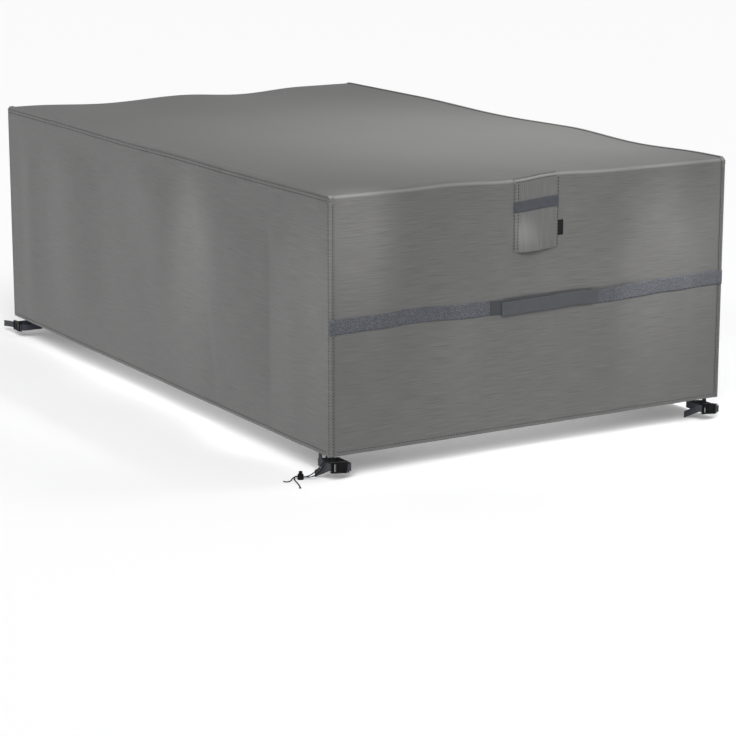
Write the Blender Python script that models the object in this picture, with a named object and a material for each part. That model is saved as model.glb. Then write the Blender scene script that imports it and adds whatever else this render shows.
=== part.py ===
"""Fitted outdoor cover: a hollow box of coated cloth with a vent hood, two bands, corner straps and a drawcord.

Metres, +Z up, +X along the long side, +Y along the short side. The origin is the middle of the underside of the
top, where the cloth is carried. The end with the vent hood and the bands faces +X.

The cloth is laid out on a plain box first. The drape function then moves every point of the cloth, and of what is
sewn to it, by the dips of the top edges and the soft folds of the walls, so layers keep their small gaps.
"""

import math

import bmesh
import bpy
from mathutils import Matrix, Vector

# The cover, outside to outside
LENGTH = 2.13
WIDTH = 1.32
DROP = 0.71  # from the top down to the hem's lower edge
HEM_CLEARS = 0.065  # from the hem down to the ground

# Cloth and seams
CLOTH = 0.0016
GAP = 0.0003  # between pieces that are sewn together
HEM = 0.022
END_BEND = 0.014  # radius of the rolled edge between the top and an end, at the cloth's middle
SEAM_LAP = 0.009  # how far a side panel laps over the centre panel
SEAM_BEND = 0.004  # radius of the side panel's turn into that lap
SEAM_GAP = 0.0006

# Vent hood, tape and label, from the middle of the end
VENT_LEFT, VENT_RIGHT = -0.0745, 0.0725
VENT_BOTTOM = -0.2065
VENT_STANDS = 0.011  # how far the mouth stands off
TAPE_TOP, TAPE_BOTTOM = -0.063, -0.093
TAPE_THICK = 0.001
LABEL_LEFT, LABEL_RIGHT = 0.0732, 0.0908
LABEL_TOP, LABEL_BOTTOM = -0.132, -0.1735
LABEL_THICK = 0.001

# Hook-and-loop bands across the end
BAND_TALL = 0.040
BAND_THICK = 0.0015
BAND_FOLLOWS = 0.35  # the share of each fold that a taut band follows
BAND_STANDS = 0.007  # the height of the ridges that it bridges
BAND_OVERLAP_FROM, BAND_OVERLAP_TO = -0.112, 0.185
HOOK_FROM, HOOK_TALL, HOOK_THICK = -0.150, 0.036, 0.001

# Corner straps: each is a loop of webbing around a square space, with its buckle on an outer face
STRAP_SPACE = 0.060
CORNER_FROM_MIDDLE_X = LENGTH / 2 - 0.036
CORNER_FROM_MIDDLE_Y = WIDTH / 2 - 0.036
WEBBING_WIDE = 0.020
WEBBING_THICK = 0.0015
STRAP_Z = -0.7395
TAB_WIDE, TAB_THICK = 0.018, 0.0014
TAB_TOP, TAB_BOTTOM = -0.692, -0.746

# Buckle, from the middle of the strap's space: x outwards, y along the strap
BUCKLE_TALL = 0.031
BAR_RADIUS = 0.0016
BAR_X = 0.0372
MALE_BAR_Y, FEMALE_BAR_Y = -0.0290, 0.0205
LOOP_RADIUS = 0.00265  # webbing around a bar, at its middle
# The strap's free end. wrapped: x, how far it stands away from the run under it, z. straight: beyond the bar, z
WRAPPED_TAIL = ((0.018, 0.0, -0.0070), (0.005, 0.003, -0.0140), (-0.008, 0.0085, -0.0215), (-0.0195, 0.015, -0.0290))
STRAIGHT_TAIL = ((0.012, -0.001), (0.035, -0.003), (0.062, -0.0065), (0.090, -0.0105))

# Drawcord and its lock
CORD = 0.003
LOCK_RADIUS, LOCK_TALL = 0.0085, 0.0150
BUTTON_RADIUS, BUTTON_HEAD, BUTTON_SHOWS = 0.0044, 0.0053, 0.0078
BUTTON_TRAVEL = 0.003
BORE_CLEARANCE = 0.0003
CORD_HOLE_WIDE, CORD_HOLE_TALL = 0.0074, 0.0036

TOP_Z = CLOTH
HEM_Z = TOP_Z - DROP
GROUND_Z = HEM_Z - HEM_CLEARS
MIDDLE_OF_END = LENGTH / 2 - CLOTH / 2
STRIP_EDGE = WIDTH / 2 - CLOTH / 2 - SEAM_BEND

# How the top edges dip and rise. Columns: edge, middle along it, half width, reach into the top, rise
EDGE_WAVES = (
    ("far", -0.305, 0.29, 0.40, -0.0100),
    ("far", 0.211, 0.24, 0.35, -0.0115),
    ("back", -0.085, 0.50, 0.30, -0.0080),
    ("back", 0.648, 0.34, 0.30, -0.0095),
    ("front", -0.284, 0.14, 0.15, 0.0027),
    ("front", -0.089, 0.14, 0.20, -0.0080),
    ("front", 0.077, 0.16, 0.20, 0.0085),
    ("near", -0.200, 0.45, 0.20, -0.0030),
    ("near", 0.550, 0.40, 0.20, -0.0020),
)

# Broad swells of the top. Columns: x, y, reach along x, reach along y, rise
SWELLS = (
    (0.35, 0.33, 0.55, 0.32, 0.005),
    (-0.60, -0.25, 0.40, 0.33, -0.006),
    (0.70, -0.20, 0.28, 0.35, -0.005),
)

# Soft ridges and troughs of the walls. Columns: wall, middle along it, half width, sideways lean for each metre
# down, how far down it starts, push outwards
FOLDS = (
    ("near", -0.95, 0.14, 0.00, 0.06, -0.004),
    ("near", -0.60, 0.32, 0.10, 0.05, 0.007),
    ("near", 0.00, 0.24, 0.35, 0.04, 0.006),
    ("near", 0.57, 0.24, 0.00, 0.10, -0.005),
    ("near", 0.86, 0.17, 0.00, 0.08, 0.005),
    ("back", -0.72, 0.30, 0.10, 0.06, 0.006),
    ("back", -0.28, 0.22, -0.10, 0.10, -0.004),
    ("back", 0.10, 0.30, -0.15, 0.05, 0.006),
    ("back", 0.66, 0.28, 0.10, 0.08, 0.006),
    ("front", -0.54, 0.10, 0.05, 0.05, 0.0045),
    ("front", -0.23, 0.13, -0.10, 0.08, 0.0045),
    ("front", 0.22, 0.12, 0.05, 0.20, 0.0045),
    ("front", 0.52, 0.11, 0.00, 0.16, 0.0045),
    ("far", -0.44, 0.15, 0.10, 0.06, 0.006),
    ("far", -0.04, 0.20, -0.10, 0.08, 0.005),
    ("far", 0.38, 0.17, 0.05, 0.05, 0.006),
)
FOLD_SETS_IN = 0.12  # a fold grows to its full push over this height
WALL_REACH = 0.12  # how deep inside the box a wall's push is felt
CORNER_HELD = 0.08  # walls are straight this far from each corner
CORNER_FADE = 0.12  # and reach their full folds after this much more
SAG_DEPTH = 0.35  # a dip of the top edge fades out over this height

# Where the left and right bands' middles run. Columns: y, z
LEFT_BAND = ((-0.66, -0.354), (-0.36, -0.3485), (-0.117, -0.355), (0.19, -0.354))
RIGHT_BAND = ((-0.112, -0.362), (0.0, -0.3595), (0.146, -0.356), (0.317, -0.356), (0.49, -0.3495), (0.66, -0.348))

# Columns: corner, its side in x, its side in y, quarter turns about Z that bring the buckle's face round, slope of
# the strap in degrees, y of the strap's first and last run from the middle of its space, how far the buckle sits
# along it, how its free end lies, the run that hangs from a hem
CORNERS = (
    ("front", 1, -1, 0, -6.0, -0.0336, 0.0336, 0.0, "wrapped", -1),
    ("right", 1, 1, 0, -6.0, -0.0264, 0.0336, 0.0095, "wrapped", 1),
    ("left", -1, -1, -1, 0.0, -0.0336, 0.0336, 0.0, "straight", -1),
    ("back", -1, 1, 1, 0.0, -0.0336, 0.0336, 0.0, "straight", 1),
)

# The drawcord's two ends, from the hem past the lock, each point chosen on the photograph's line. The lock stands
# on the ground at LOCK_AT, and both cords run through it along LOCK_HEADING.
LOCK_AT = Vector((1.0085, -0.7180, 0.0))
LOCK_HEADING = Vector((-0.60, -0.80, 0.0))
CORD_LIFT = 0.0074  # height of the cords' middle in the lock
CORD_ROUTES = {
    "cord_short": (
        (1.0430, -0.6584, HEM_Z - 0.0004),
        (1.0430, -0.6590, HEM_Z - 0.0050),
        (1.0415, -0.6640, HEM_Z - 0.0140),
        (1.0350, -0.6760, HEM_Z - 0.0330),
        (1.0240, -0.6930, HEM_Z - 0.0510),
        "lock",
        (1.0000, -0.7385, GROUND_Z + 0.0030),
        (1.0085, -0.7475, GROUND_Z + 0.0017),
        (1.0155, -0.7560, GROUND_Z + 0.0017),
        (1.0165, -0.7650, GROUND_Z + 0.0017),
        (1.0070, -0.7705, GROUND_Z + 0.0017),
    ),
    "cord_long": (
        (1.0475, -0.6584, HEM_Z - 0.0004),
        (1.0475, -0.6590, HEM_Z - 0.0050),
        (1.0475, -0.6650, HEM_Z - 0.0180),
        (1.0430, -0.6770, HEM_Z - 0.0400),
        (1.0310, -0.6935, HEM_Z - 0.0550),
        "lock",
        (1.0065, -0.7365, GROUND_Z + 0.0040),
        (1.0170, -0.7395, GROUND_Z + 0.0020),
        (1.0350, -0.7445, GROUND_Z + 0.0017),
        (1.0560, -0.7505, GROUND_Z + 0.0017),
        (1.0740, -0.7570, GROUND_Z + 0.0017),
        (1.0850, -0.7625, GROUND_Z + 0.0017),
    ),
}
CORD_SIDE = {"cord_short": 0.0018, "cord_long": -0.0018}  # where each lies in the lock, across its heading
KNOT_RADIUS = 0.0028


def clear_scene():
    for obj in list(bpy.data.objects):
        bpy.data.objects.remove(obj, do_unlink=True)


def material(name, colour, roughness, metallic=0.0):
    made = bpy.data.materials.new(name)
    made.use_nodes = True
    shader = made.node_tree.nodes["Principled BSDF"]
    shader.inputs["Base Color"].default_value = (*colour, 1.0)
    shader.inputs["Roughness"].default_value = roughness
    shader.inputs["Metallic"].default_value = metallic
    made.diffuse_color = (*colour, 1.0)
    return made


def smooth_step(t):
    t = min(max(t, 0.0), 1.0)
    return t * t * (3 - 2 * t)


def bell(t):
    """1 in the middle, falling smoothly to 0 at a distance of 1."""
    return 0.5 * (1 + math.cos(math.pi * t)) if abs(t) < 1 else 0.0


def top_rise(x, y):
    """How far the top lies above the plain box there."""
    inward = {
        "far": (x + LENGTH / 2, y),
        "front": (LENGTH / 2 - x, y),
        "near": (y + WIDTH / 2, x),
        "back": (WIDTH / 2 - y, x),
    }
    rise = 0.0
    for edge, at, half_width, reach, height in EDGE_WAVES:
        depth, along = inward[edge]
        rise += height * bell(max(depth, 0.0) / reach) * bell((along - at) / half_width)
    for swell_x, swell_y, reach_x, reach_y, height in SWELLS:
        rise += height * bell((x - swell_x) / reach_x) * bell((y - swell_y) / reach_y)
    return rise


def wall_push(wall, along, half_length, down, follow):
    """How far a wall stands out at a place. A taut band follows only part of a fold and bridges the rest."""
    fold = 0.0
    for row_wall, at, half_width, lean, starts_down, push in FOLDS:
        if row_wall == wall:
            grown = smooth_step((down - starts_down) / FOLD_SETS_IN)
            fold += push * grown * bell((along - at - lean * down) / half_width)
    bridged = follow * fold + (1 - follow) * BAND_STANDS
    return bridged * smooth_step((half_length - abs(along) - CORNER_HELD) / CORNER_FADE)


def drape(point, follow=1.0):
    """A point of the plain box, moved to where the cloth hangs."""
    x, y, z = point
    down = max(TOP_Z - z, 0.0)
    near_end = smooth_step((abs(x) - LENGTH / 2 + WALL_REACH) / WALL_REACH)
    near_side = smooth_step((abs(y) - WIDTH / 2 + WALL_REACH) / WALL_REACH)
    end, side = ("front" if x > 0 else "far"), ("back" if y > 0 else "near")
    out_x = near_end * wall_push(end, y, WIDTH / 2, down, follow)
    out_y = near_side * wall_push(side, x, LENGTH / 2, down, follow)
    lift = top_rise(x, y) * (1 - smooth_step(down / SAG_DEPTH))
    return Vector((x + math.copysign(out_x, x), y + math.copysign(out_y, y), z + lift))


def new_object(name, mesh, finish):
    obj = bpy.data.objects.new(name, mesh)
    bpy.context.scene.collection.objects.link(obj)
    obj.data.materials.append(finish)
    return obj


def object_from(name, bm, finish, sharp_deg=40):
    bmesh.ops.recalc_face_normals(bm, faces=bm.faces)
    mesh = bpy.data.meshes.new(name)
    bm.to_mesh(mesh)
    bm.free()
    mesh.shade_smooth()
    mesh.set_sharp_from_angle(angle=math.radians(sharp_deg))
    return new_object(name, mesh, finish)


def sheet(name, outer, inner, finish):
    """A closed sheet between two grids of points of the same size."""
    bm = bmesh.new()
    faces = [[[bm.verts.new(p) for p in row] for row in grid] for grid in (outer, inner)]
    rows, columns = len(outer), len(outer[0])
    for i in range(rows - 1):
        for j in range(columns - 1):
            for grid in faces:
                bm.faces.new((grid[i][j], grid[i + 1][j], grid[i + 1][j + 1], grid[i][j + 1]))
    rim = [(i, 0) for i in range(rows)] + [(rows - 1, j) for j in range(1, columns)]
    rim += [(i, columns - 1) for i in range(rows - 2, -1, -1)] + [(0, j) for j in range(columns - 2, 0, -1)]
    for here, there in zip(rim, rim[1:] + rim[:1]):
        bm.faces.new([faces[k][i][j] for k, (i, j) in ((0, here), (0, there), (1, there), (1, here))])
    return object_from(name, bm, finish)


def spread(start, end, steps):
    return [start + (end - start) * n / steps for n in range(steps + 1)]


# Shared lines of the cloth's grids, so that layers which lie on each other bend at the same places
BEND_CENTRE_X = MIDDLE_OF_END - END_BEND
BEND_CENTRE_Z = CLOTH / 2 - END_BEND
TOP_X = spread(-BEND_CENTRE_X, BEND_CENTRE_X, 22)
VENT_Y = spread(VENT_LEFT, VENT_RIGHT, 8)
STRIP_Y = spread(-STRIP_EDGE, VENT_LEFT, 8)[:-1] + VENT_Y + spread(VENT_RIGHT, STRIP_EDGE, 8)[1:]
WALL_Z = [HEM_Z, HEM_Z + HEM, HEM_Z + HEM + 0.002] + spread(HEM_Z + 0.075, BEND_CENTRE_Z, 8)
HEM_ROWS = 2
BEND_DEG = (30, 60)


def centre_panel(finish):
    """One strip: far end, top and near end, with a turned hem inside each lower edge."""
    profile = []
    for z in WALL_Z:
        profile.append((Vector((MIDDLE_OF_END, 0, z)), Vector((1, 0, 0)), z < WALL_Z[HEM_ROWS] - 1e-6))
    for angle in BEND_DEG:
        out = Vector((math.cos(math.radians(angle)), 0, math.sin(math.radians(angle))))
        profile.append((Vector((BEND_CENTRE_X, 0, BEND_CENTRE_Z)) + out * END_BEND, out, False))
    mirrored = [(Vector((-p.x, 0, p.z)), Vector((-n.x, 0, n.z)), hem) for p, n, hem in profile]
    top = [(Vector((x, 0, CLOTH / 2)), Vector((0, 0, 1)), False) for x in TOP_X]
    outer, inner = [], []
    for middle, out, in_hem in mirrored + top + profile[::-1]:
        under = CLOTH / 2 + (CLOTH if in_hem else 0)
        outer.append([drape(middle + out * (CLOTH / 2) + Vector((0, y, 0))) for y in STRIP_Y])
        inner.append([drape(middle - out * under + Vector((0, y, 0))) for y in STRIP_Y])
    return sheet("centre_panel", outer, inner, finish)


def side_panel(name, side, finish):
    """A long side whose rim turns over the centre panel's edge on three sides. side is -1 or 1."""
    rings = 3
    lap_top = TOP_Z + SEAM_GAP + CLOTH / 2
    lap_end = LENGTH / 2 + SEAM_GAP + CLOTH / 2
    round_corner = END_BEND + CLOTH / 2 + SEAM_GAP + CLOTH / 2 - SEAM_BEND
    flat_top, flat_end = lap_top - SEAM_BEND, lap_end - SEAM_BEND
    bend_deg = (90, 90, 45, 0)  # how far each ring has turned, from the lap's edge to the flat
    columns = [0.0] * rings + [-flat_end] + TOP_X[1:-1] + [flat_end] + [0.0] * rings
    rows = [0.0] * rings + [flat_top] + WALL_Z[::-1][1:]
    last = len(columns) - 1
    middle_y = WIDTH / 2 - CLOTH / 2

    def place(i, j):
        from_end, toward = min(i, last - i), (-1 if i < last / 2 else 1)
        ring = min(from_end, j, rings)
        corner = Vector((toward * (flat_end - round_corner), 0, flat_top - round_corner))
        if from_end <= rings and j <= rings:
            if from_end == j:
                angle = 45.0
            elif j < from_end:
                angle = 45.0 * (1 - (from_end - j) / (rings - j))
            else:
                angle = 45.0 + 45.0 * (j - from_end) / (rings - from_end)
            out = Vector((toward * math.sin(math.radians(angle)), 0, math.cos(math.radians(angle))))
            foot = corner + out * round_corner
        elif j < rings:
            out, foot = Vector((0, 0, 1)), Vector((columns[i], 0, flat_top))
        elif from_end < rings:
            out, foot = Vector((toward, 0, 0)), Vector((toward * flat_end, 0, rows[j]))
        else:
            out, foot = Vector((0, 0, 1)), Vector((columns[i], 0, rows[j]))
        turned = math.radians(bend_deg[ring])
        y = middle_y - SEAM_BEND * (1 - math.cos(turned)) - (SEAM_LAP if ring == 0 else 0)
        middle = foot + out * (SEAM_BEND * math.sin(turned)) + Vector((0, side * y, 0))
        normal = out * math.sin(turned) + Vector((0, side * math.cos(turned), 0))
        in_hem = j >= len(rows) - HEM_ROWS and from_end >= rings
        return middle, normal, CLOTH / 2 + (CLOTH if in_hem else 0)

    outer, inner = [], []
    for j in range(len(rows)):
        placed = [place(i, j) for i in range(last + 1)]
        outer.append([drape(middle + normal * (CLOTH / 2)) for middle, normal, under in placed])
        inner.append([drape(middle - normal * under) for middle, normal, under in placed])
    return sheet(name, outer, inner, finish)


def height_on(line, y):
    """The height of a band's middle at y, between the points of its table."""
    for (y0, z0), (y1, z1) in zip(line, line[1:]):
        if y <= y1:
            return z0 + (z1 - z0) * smooth_step((y - y0) / (y1 - y0))
    return line[-1][1]


def end_strip(name, line, tall, stations, thick, finish):
    """A flat strip across the end. stations: (y, distance of its back from the end cloth)."""
    outer, inner = [], []
    for y, lies in stations:
        z = height_on(line, y)
        back = LENGTH / 2 + lies
        outer.append([drape((back + thick, y, z + half), BAND_FOLLOWS) for half in (tall / 2, -tall / 2)])
        inner.append([drape((back, y, z + half), BAND_FOLLOWS) for half in (tall / 2, -tall / 2)])
    return sheet(name, outer, inner, finish)


def bands(fuzzy, smooth):
    """The left band, the hook tape on it, and the right band, whose free end lies on both."""
    on_cloth = GAP
    on_seam = SEAM_GAP + CLOTH + GAP
    on_band = on_cloth + BAND_THICK + GAP
    on_hook = on_band + HOOK_THICK + GAP
    corner = WIDTH / 2 - 0.0045
    step_out, step_in = STRIP_EDGE - SEAM_LAP - 0.002, STRIP_EDGE - SEAM_LAP - 0.006
    shared = [y for y in STRIP_Y if abs(y) < step_in - 0.01]

    left = [(-corner, on_seam), (-step_out, on_seam), (-step_in, on_cloth)]
    left += [(y, on_cloth) for y in shared if y < BAND_OVERLAP_TO] + [(BAND_OVERLAP_TO, on_cloth)]
    end_strip("band_left", LEFT_BAND, BAND_TALL, left, BAND_THICK, fuzzy)

    hook_to = BAND_OVERLAP_TO - 0.006
    hook = [(HOOK_FROM, on_band)] + [(y, on_band) for y in shared if HOOK_FROM + 0.002 < y < hook_to]
    end_strip("hook_patch", LEFT_BAND, HOOK_TALL, hook + [(hook_to, on_band)], HOOK_THICK, smooth)

    clears = BAND_OVERLAP_TO + 0.012
    right = [(BAND_OVERLAP_FROM, on_hook)]
    right += [(y, on_hook) for y in shared if BAND_OVERLAP_FROM < y < BAND_OVERLAP_TO]
    right += [(BAND_OVERLAP_TO + 0.004, on_hook), (clears, on_cloth)]
    right += [(y, on_cloth) for y in shared if y > clears + 0.005]
    right += [(step_in, on_cloth), (step_out, on_seam), (corner, on_seam)]
    end_strip("band_right", RIGHT_BAND, BAND_TALL, right, BAND_THICK, fuzzy)


def hood_stands(y, z):
    """How far the vent hood's middle stands off the end: steep at its left seam and most at its mouth."""
    left, right = VENT_LEFT + 0.0145, VENT_RIGHT - 0.005
    across = min(max((y - left) / (right - left), 0.0), 1.0)
    down = smooth_step((TAPE_BOTTOM + 0.01 - z) / (TAPE_BOTTOM + 0.01 - VENT_BOTTOM))
    return VENT_STANDS * math.sin(math.pi * across**0.75) * down


def vent(cloth, tape, tag):
    """The hood with its open mouth below, the tape across it and the tag beside it."""
    columns = [y for y in STRIP_Y if VENT_LEFT - 1e-6 < y < VENT_RIGHT + 1e-6]
    lies = END_BEND + CLOTH / 2 + GAP
    profile = []
    for angle in BEND_DEG[::-1]:
        out = Vector((math.cos(math.radians(angle)), 0, math.sin(math.radians(angle))))
        profile.append((Vector((BEND_CENTRE_X, 0, BEND_CENTRE_Z)) + out * lies, out))
    for z in [BEND_CENTRE_Z, -0.038, TAPE_TOP, TAPE_BOTTOM] + spread(TAPE_BOTTOM, VENT_BOTTOM, 5)[1:]:
        profile.append((Vector((LENGTH / 2 + GAP, 0, z)), Vector((1, 0, 0))))
    outer, inner = [], []
    for back, out in profile:
        row = [back + Vector((0, y, 0)) + out * hood_stands(y, back.z) for y in columns]
        outer.append([drape(p + out * CLOTH) for p in row])
        inner.append([drape(p) for p in row])
    sheet("vent_hood", outer, inner, cloth)

    back = LENGTH / 2 + GAP + CLOTH + GAP
    outer, inner = [], []
    for z in (TAPE_TOP, TAPE_BOTTOM):
        row = [Vector((back + hood_stands(y, z), y, z)) for y in columns]
        outer.append([drape(p + Vector((TAPE_THICK, 0, 0))) for p in row])
        inner.append([drape(p) for p in row])
    sheet("vent_tape", outer, inner, tape)

    back = LENGTH / 2 + GAP
    grids = []
    for x in (back + LABEL_THICK, back):
        grids.append([[drape((x, y, z)) for y in (LABEL_LEFT, LABEL_RIGHT)] for z in (LABEL_TOP, LABEL_BOTTOM)])
    sheet("side_label", grids[0], grids[1], tag)


def arc(centre, radius_x, radius_y, start_deg, end_deg, steps):
    angles = [math.radians(a) for a in spread(start_deg, end_deg, steps)]
    return [(centre[0] + radius_x * math.cos(a), centre[1] + radius_y * math.sin(a)) for a in angles]


def strap_line(from_y, to_y, slides, tail):
    """The webbing's middle line around its space, from the female bar to the end of the tail."""
    inside = BAR_X - LOOP_RADIUS
    outside = BAR_X + LOOP_RADIUS
    back = -STRAP_SPACE / 2 - 0.005
    turn, tight = 0.006, 0.0035
    close = min(turn, to_y - FEMALE_BAR_Y - slides - 0.0005)
    line = [(outside, FEMALE_BAR_Y + slides + 0.0078)]
    line += arc((BAR_X, FEMALE_BAR_Y + slides), LOOP_RADIUS, LOOP_RADIUS, 0, -180, 5)
    line += arc((inside - close, to_y - close), close, close, 0, 90, 3)
    line += arc((back + turn, to_y - turn), turn, turn, 90, 180, 3)
    line += arc((back + turn, from_y + turn), turn, turn, 180, 270, 3)
    line += arc((inside - tight, from_y + tight), tight, tight, 270, 360, 3)
    line += arc((BAR_X, MALE_BAR_Y + slides), LOOP_RADIUS, LOOP_RADIUS, 180, 0, 6)
    outer_run = from_y - WEBBING_THICK - GAP
    if tail == "wrapped":
        knee = (inside - tight, from_y + tight)
        line += arc(knee, outside - knee[0], knee[1] - outer_run, 0, -90, 4)[1:]
        points = [(x, y, 0.0) for x, y in line]
        points += [(x, outer_run - away, z) for x, away, z in WRAPPED_TAIL]
    else:
        points = [(x, y, 0.0) for x, y in line]
        points += [(outside, MALE_BAR_Y - beyond, z) for beyond, z in STRAIGHT_TAIL]
    return points


def webbing(name, points, place, finish):
    """A flat strap that stands on edge: its width is upright and its thickness lies across its line."""
    outer, inner = [], []
    for n, point in enumerate(points):
        before, after = points[max(n - 1, 0)], points[min(n + 1, len(points) - 1)]
        along = Vector((after[0] - before[0], after[1] - before[1], 0)).normalized()
        across = Vector((along.y, -along.x, 0)) * (WEBBING_THICK / 2)
        for grid, offset in ((outer, across), (inner, -across)):
            middle = Vector(point) + offset
            grid.append([place @ (middle + Vector((0, 0, up * WEBBING_WIDE / 2))) for up in (1, -1)])
    return sheet(name, outer, inner, finish)


def block(name, low, high, finish, bevel=0.0):
    bm = bmesh.new()
    bmesh.ops.create_cube(bm, size=1.0)
    size, middle = Vector(high) - Vector(low), (Vector(high) + Vector(low)) / 2
    for vert in bm.verts:
        vert.co = Vector((vert.co.x * size.x, vert.co.y * size.y, vert.co.z * size.z)) + middle
    if bevel:
        bmesh.ops.bevel(bm, geom=list(bm.edges), offset=bevel, segments=2, profile=0.5, affect="EDGES")
    return object_from(name, bm, finish)


def turned(name, profile, segments, finish):
    """A solid turned about Z from a (radius, height) outline that starts and ends on the axis."""
    bm = bmesh.new()
    verts = [bm.verts.new((radius, 0, height)) for radius, height in profile]
    edges = [bm.edges.new(pair) for pair in zip(verts, verts[1:])]
    bmesh.ops.spin(
        bm, geom=verts + edges, cent=(0, 0, 0), axis=(0, 0, 1), angle=math.tau, steps=segments, use_duplicate=False
    )
    bmesh.ops.remove_doubles(bm, verts=bm.verts, dist=1e-6)
    return object_from(name, bm, finish)


def upright_bar(name, x, y, tall, finish):
    made = turned(name, ((0, -tall / 2), (BAR_RADIUS, -tall / 2), (BAR_RADIUS, tall / 2), (0, tall / 2)), 10, finish)
    made.data.transform(Matrix.Translation((x, y, 0)))
    return made


def combine(target, operation, others):
    """Joins others to target, or cuts them from it."""
    for other in others:
        modifier = target.modifiers.new(operation.title(), "BOOLEAN")
        modifier.operation = operation
        modifier.solver = "EXACT"
        modifier.object = other
        other.hide_render = True
        other.display_type = "WIRE"
    return target


def buckle(corner, place, finish):
    """A side-release buckle. The male half's outer bar is hooded, and the female half's bar is open."""
    half = BUCKLE_TALL / 2
    rail = half - 0.0032
    back, front = BAR_X - 0.0029, BAR_X + 0.0053
    hood_back = BAR_X + LOOP_RADIUS + WEBBING_THICK / 2 + 0.0004
    hood_left, slot_left, slot_right, male_right = -0.0345, -0.0252, -0.0180, -0.0155
    mouth, female_right, rail_right = -0.0151, 0.0145, FEMALE_BAR_Y + 0.0028
    tongue_half, tongue_thin, tongue_end = 0.0080, 0.0014, -0.0035
    fit = 0.0004

    male = block(f"buckle_male_{corner}", (hood_back, hood_left, -half), (front, male_right, half), finish, 0.0006)
    window = block("window", (back, slot_left, -rail + 0.001), (front + 0.01, slot_right, rail - 0.001), finish)
    rails = []
    for side in (-1, 1):
        low, high = sorted((side * rail, side * (half - 0.0004)))
        rail_front, rail_to = front - 0.0008, male_right - 0.0002
        rails.append(block("rail", (back, hood_left + 0.0008, low), (rail_front, rail_to, high), finish))
    bridge_low = (back, slot_right + 0.0004, -rail - 0.001)
    bridge_high = (front - 0.0006, male_right - 0.0004, rail + 0.001)
    bridge = block("bridge", bridge_low, bridge_high, finish)
    tongue_x = (BAR_X - tongue_thin, BAR_X + tongue_thin)
    tongue_low, tongue_high = (tongue_x[0], slot_right + 0.001, -tongue_half), (tongue_x[1], tongue_end, tongue_half)
    tongue = block("tongue", tongue_low, tongue_high, finish)
    bar = upright_bar("bar", BAR_X, MALE_BAR_Y, 2 * rail + 0.002, finish)
    combine(male, "DIFFERENCE", [window])
    combine(male, "UNION", rails + [bridge, tongue, bar])

    female = block(f"buckle_female_{corner}", (back, mouth, -half), (front, female_right, half), finish, 0.0016)
    pocket = block(
        "pocket",
        (tongue_x[0] - fit, mouth - 0.01, -tongue_half - fit),
        (tongue_x[1] + fit, tongue_end + 0.0012, tongue_half + fit),
        finish,
    )
    rails = []
    for side in (-1, 1):
        low, high = sorted((side * rail, side * (half - 0.0012)))
        rails.append(block("rail", (back + 0.001, 0.0, low), (front - 0.001, rail_right, high), finish))
    bar = upright_bar("bar", BAR_X, FEMALE_BAR_Y, 2 * rail + 0.002, finish)
    combine(female, "DIFFERENCE", [pocket])
    combine(female, "UNION", rails + [bar])
    for half_buckle in (male, female):
        for modifier in half_buckle.modifiers:
            modifier.object.data.transform(place)
        half_buckle.data.transform(place)


def corner_strap(row, cloth, plastic):
    """The strap, its buckle and the hem tab at one corner."""
    corner, toward_x, toward_y, quarter_turns, slope_deg, from_y, to_y, slides, tail, tab_side = row
    middle = Matrix.Translation((toward_x * CORNER_FROM_MIDDLE_X, toward_y * CORNER_FROM_MIDDLE_Y, 0))
    turn = middle @ Matrix.Rotation(quarter_turns * math.pi / 2, 4, "Z")
    level = turn @ Matrix.Translation((0, 0, STRAP_Z))
    slope = Matrix(((1, 0, 0, 0), (0, 1, 0, 0), (0, math.tan(math.radians(slope_deg)), 1, 0), (0, 0, 0, 1)))
    webbing(f"strap_{corner}", strap_line(from_y, to_y, slides, tail), level @ slope, cloth)
    buckle(corner, level @ slope @ Matrix.Translation((0, slides, 0)), plastic)

    hem_inside = WIDTH / 2 - 2 * CLOTH - CORNER_FROM_MIDDLE_Y
    y = tab_side * (hem_inside - GAP - TAB_THICK / 2)
    left = -STRAP_SPACE / 2
    sides = (left, left + TAB_WIDE)
    grids = []
    for offset in (TAB_THICK / 2, -TAB_THICK / 2):
        grids.append([[turn @ Vector((x, y + offset, z)) for x in sides] for z in (TAB_TOP, TAB_BOTTOM)])
    sheet(f"hem_tab_{corner}", grids[0], grids[1], cloth)


def smooth_route(points, spacing, kept):
    """Points a set distance apart on a smooth curve through a route. kept: which of the route's points stay."""
    ends = [2 * points[0] - points[1]] + points + [2 * points[-1] - points[-2]]
    fine, steps = [], 20
    for p0, p1, p2, p3 in zip(ends, ends[1:], ends[2:], ends[3:]):
        bend = (2 * p0 - 5 * p1 + 4 * p2 - p3, 3 * p1 - p0 - 3 * p2 + p3)
        for t in spread(0.0, 1.0, steps)[:-1]:
            fine.append(0.5 * (2 * p1 + (p2 - p0) * t + bend[0] * t**2 + bend[1] * t**3))
    fine.append(points[-1])
    picked = [points[0]]
    stops = [0, *kept, len(points) - 1]
    for start, end in zip(stops, stops[1:]):
        run = fine[start * steps : end * steps + 1]
        lengths = [0.0]
        for a, b in zip(run, run[1:]):
            lengths.append(lengths[-1] + (b - a).length)
        k = 0
        for wanted in spread(0.0, lengths[-1], max(1, round(lengths[-1] / spacing)))[1:]:
            while k < len(run) - 2 and lengths[k + 1] < wanted:
                k += 1
            share = (wanted - lengths[k]) / (lengths[k + 1] - lengths[k])
            picked.append(run[k].lerp(run[k + 1], min(share, 1.0)))
    return picked


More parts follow.
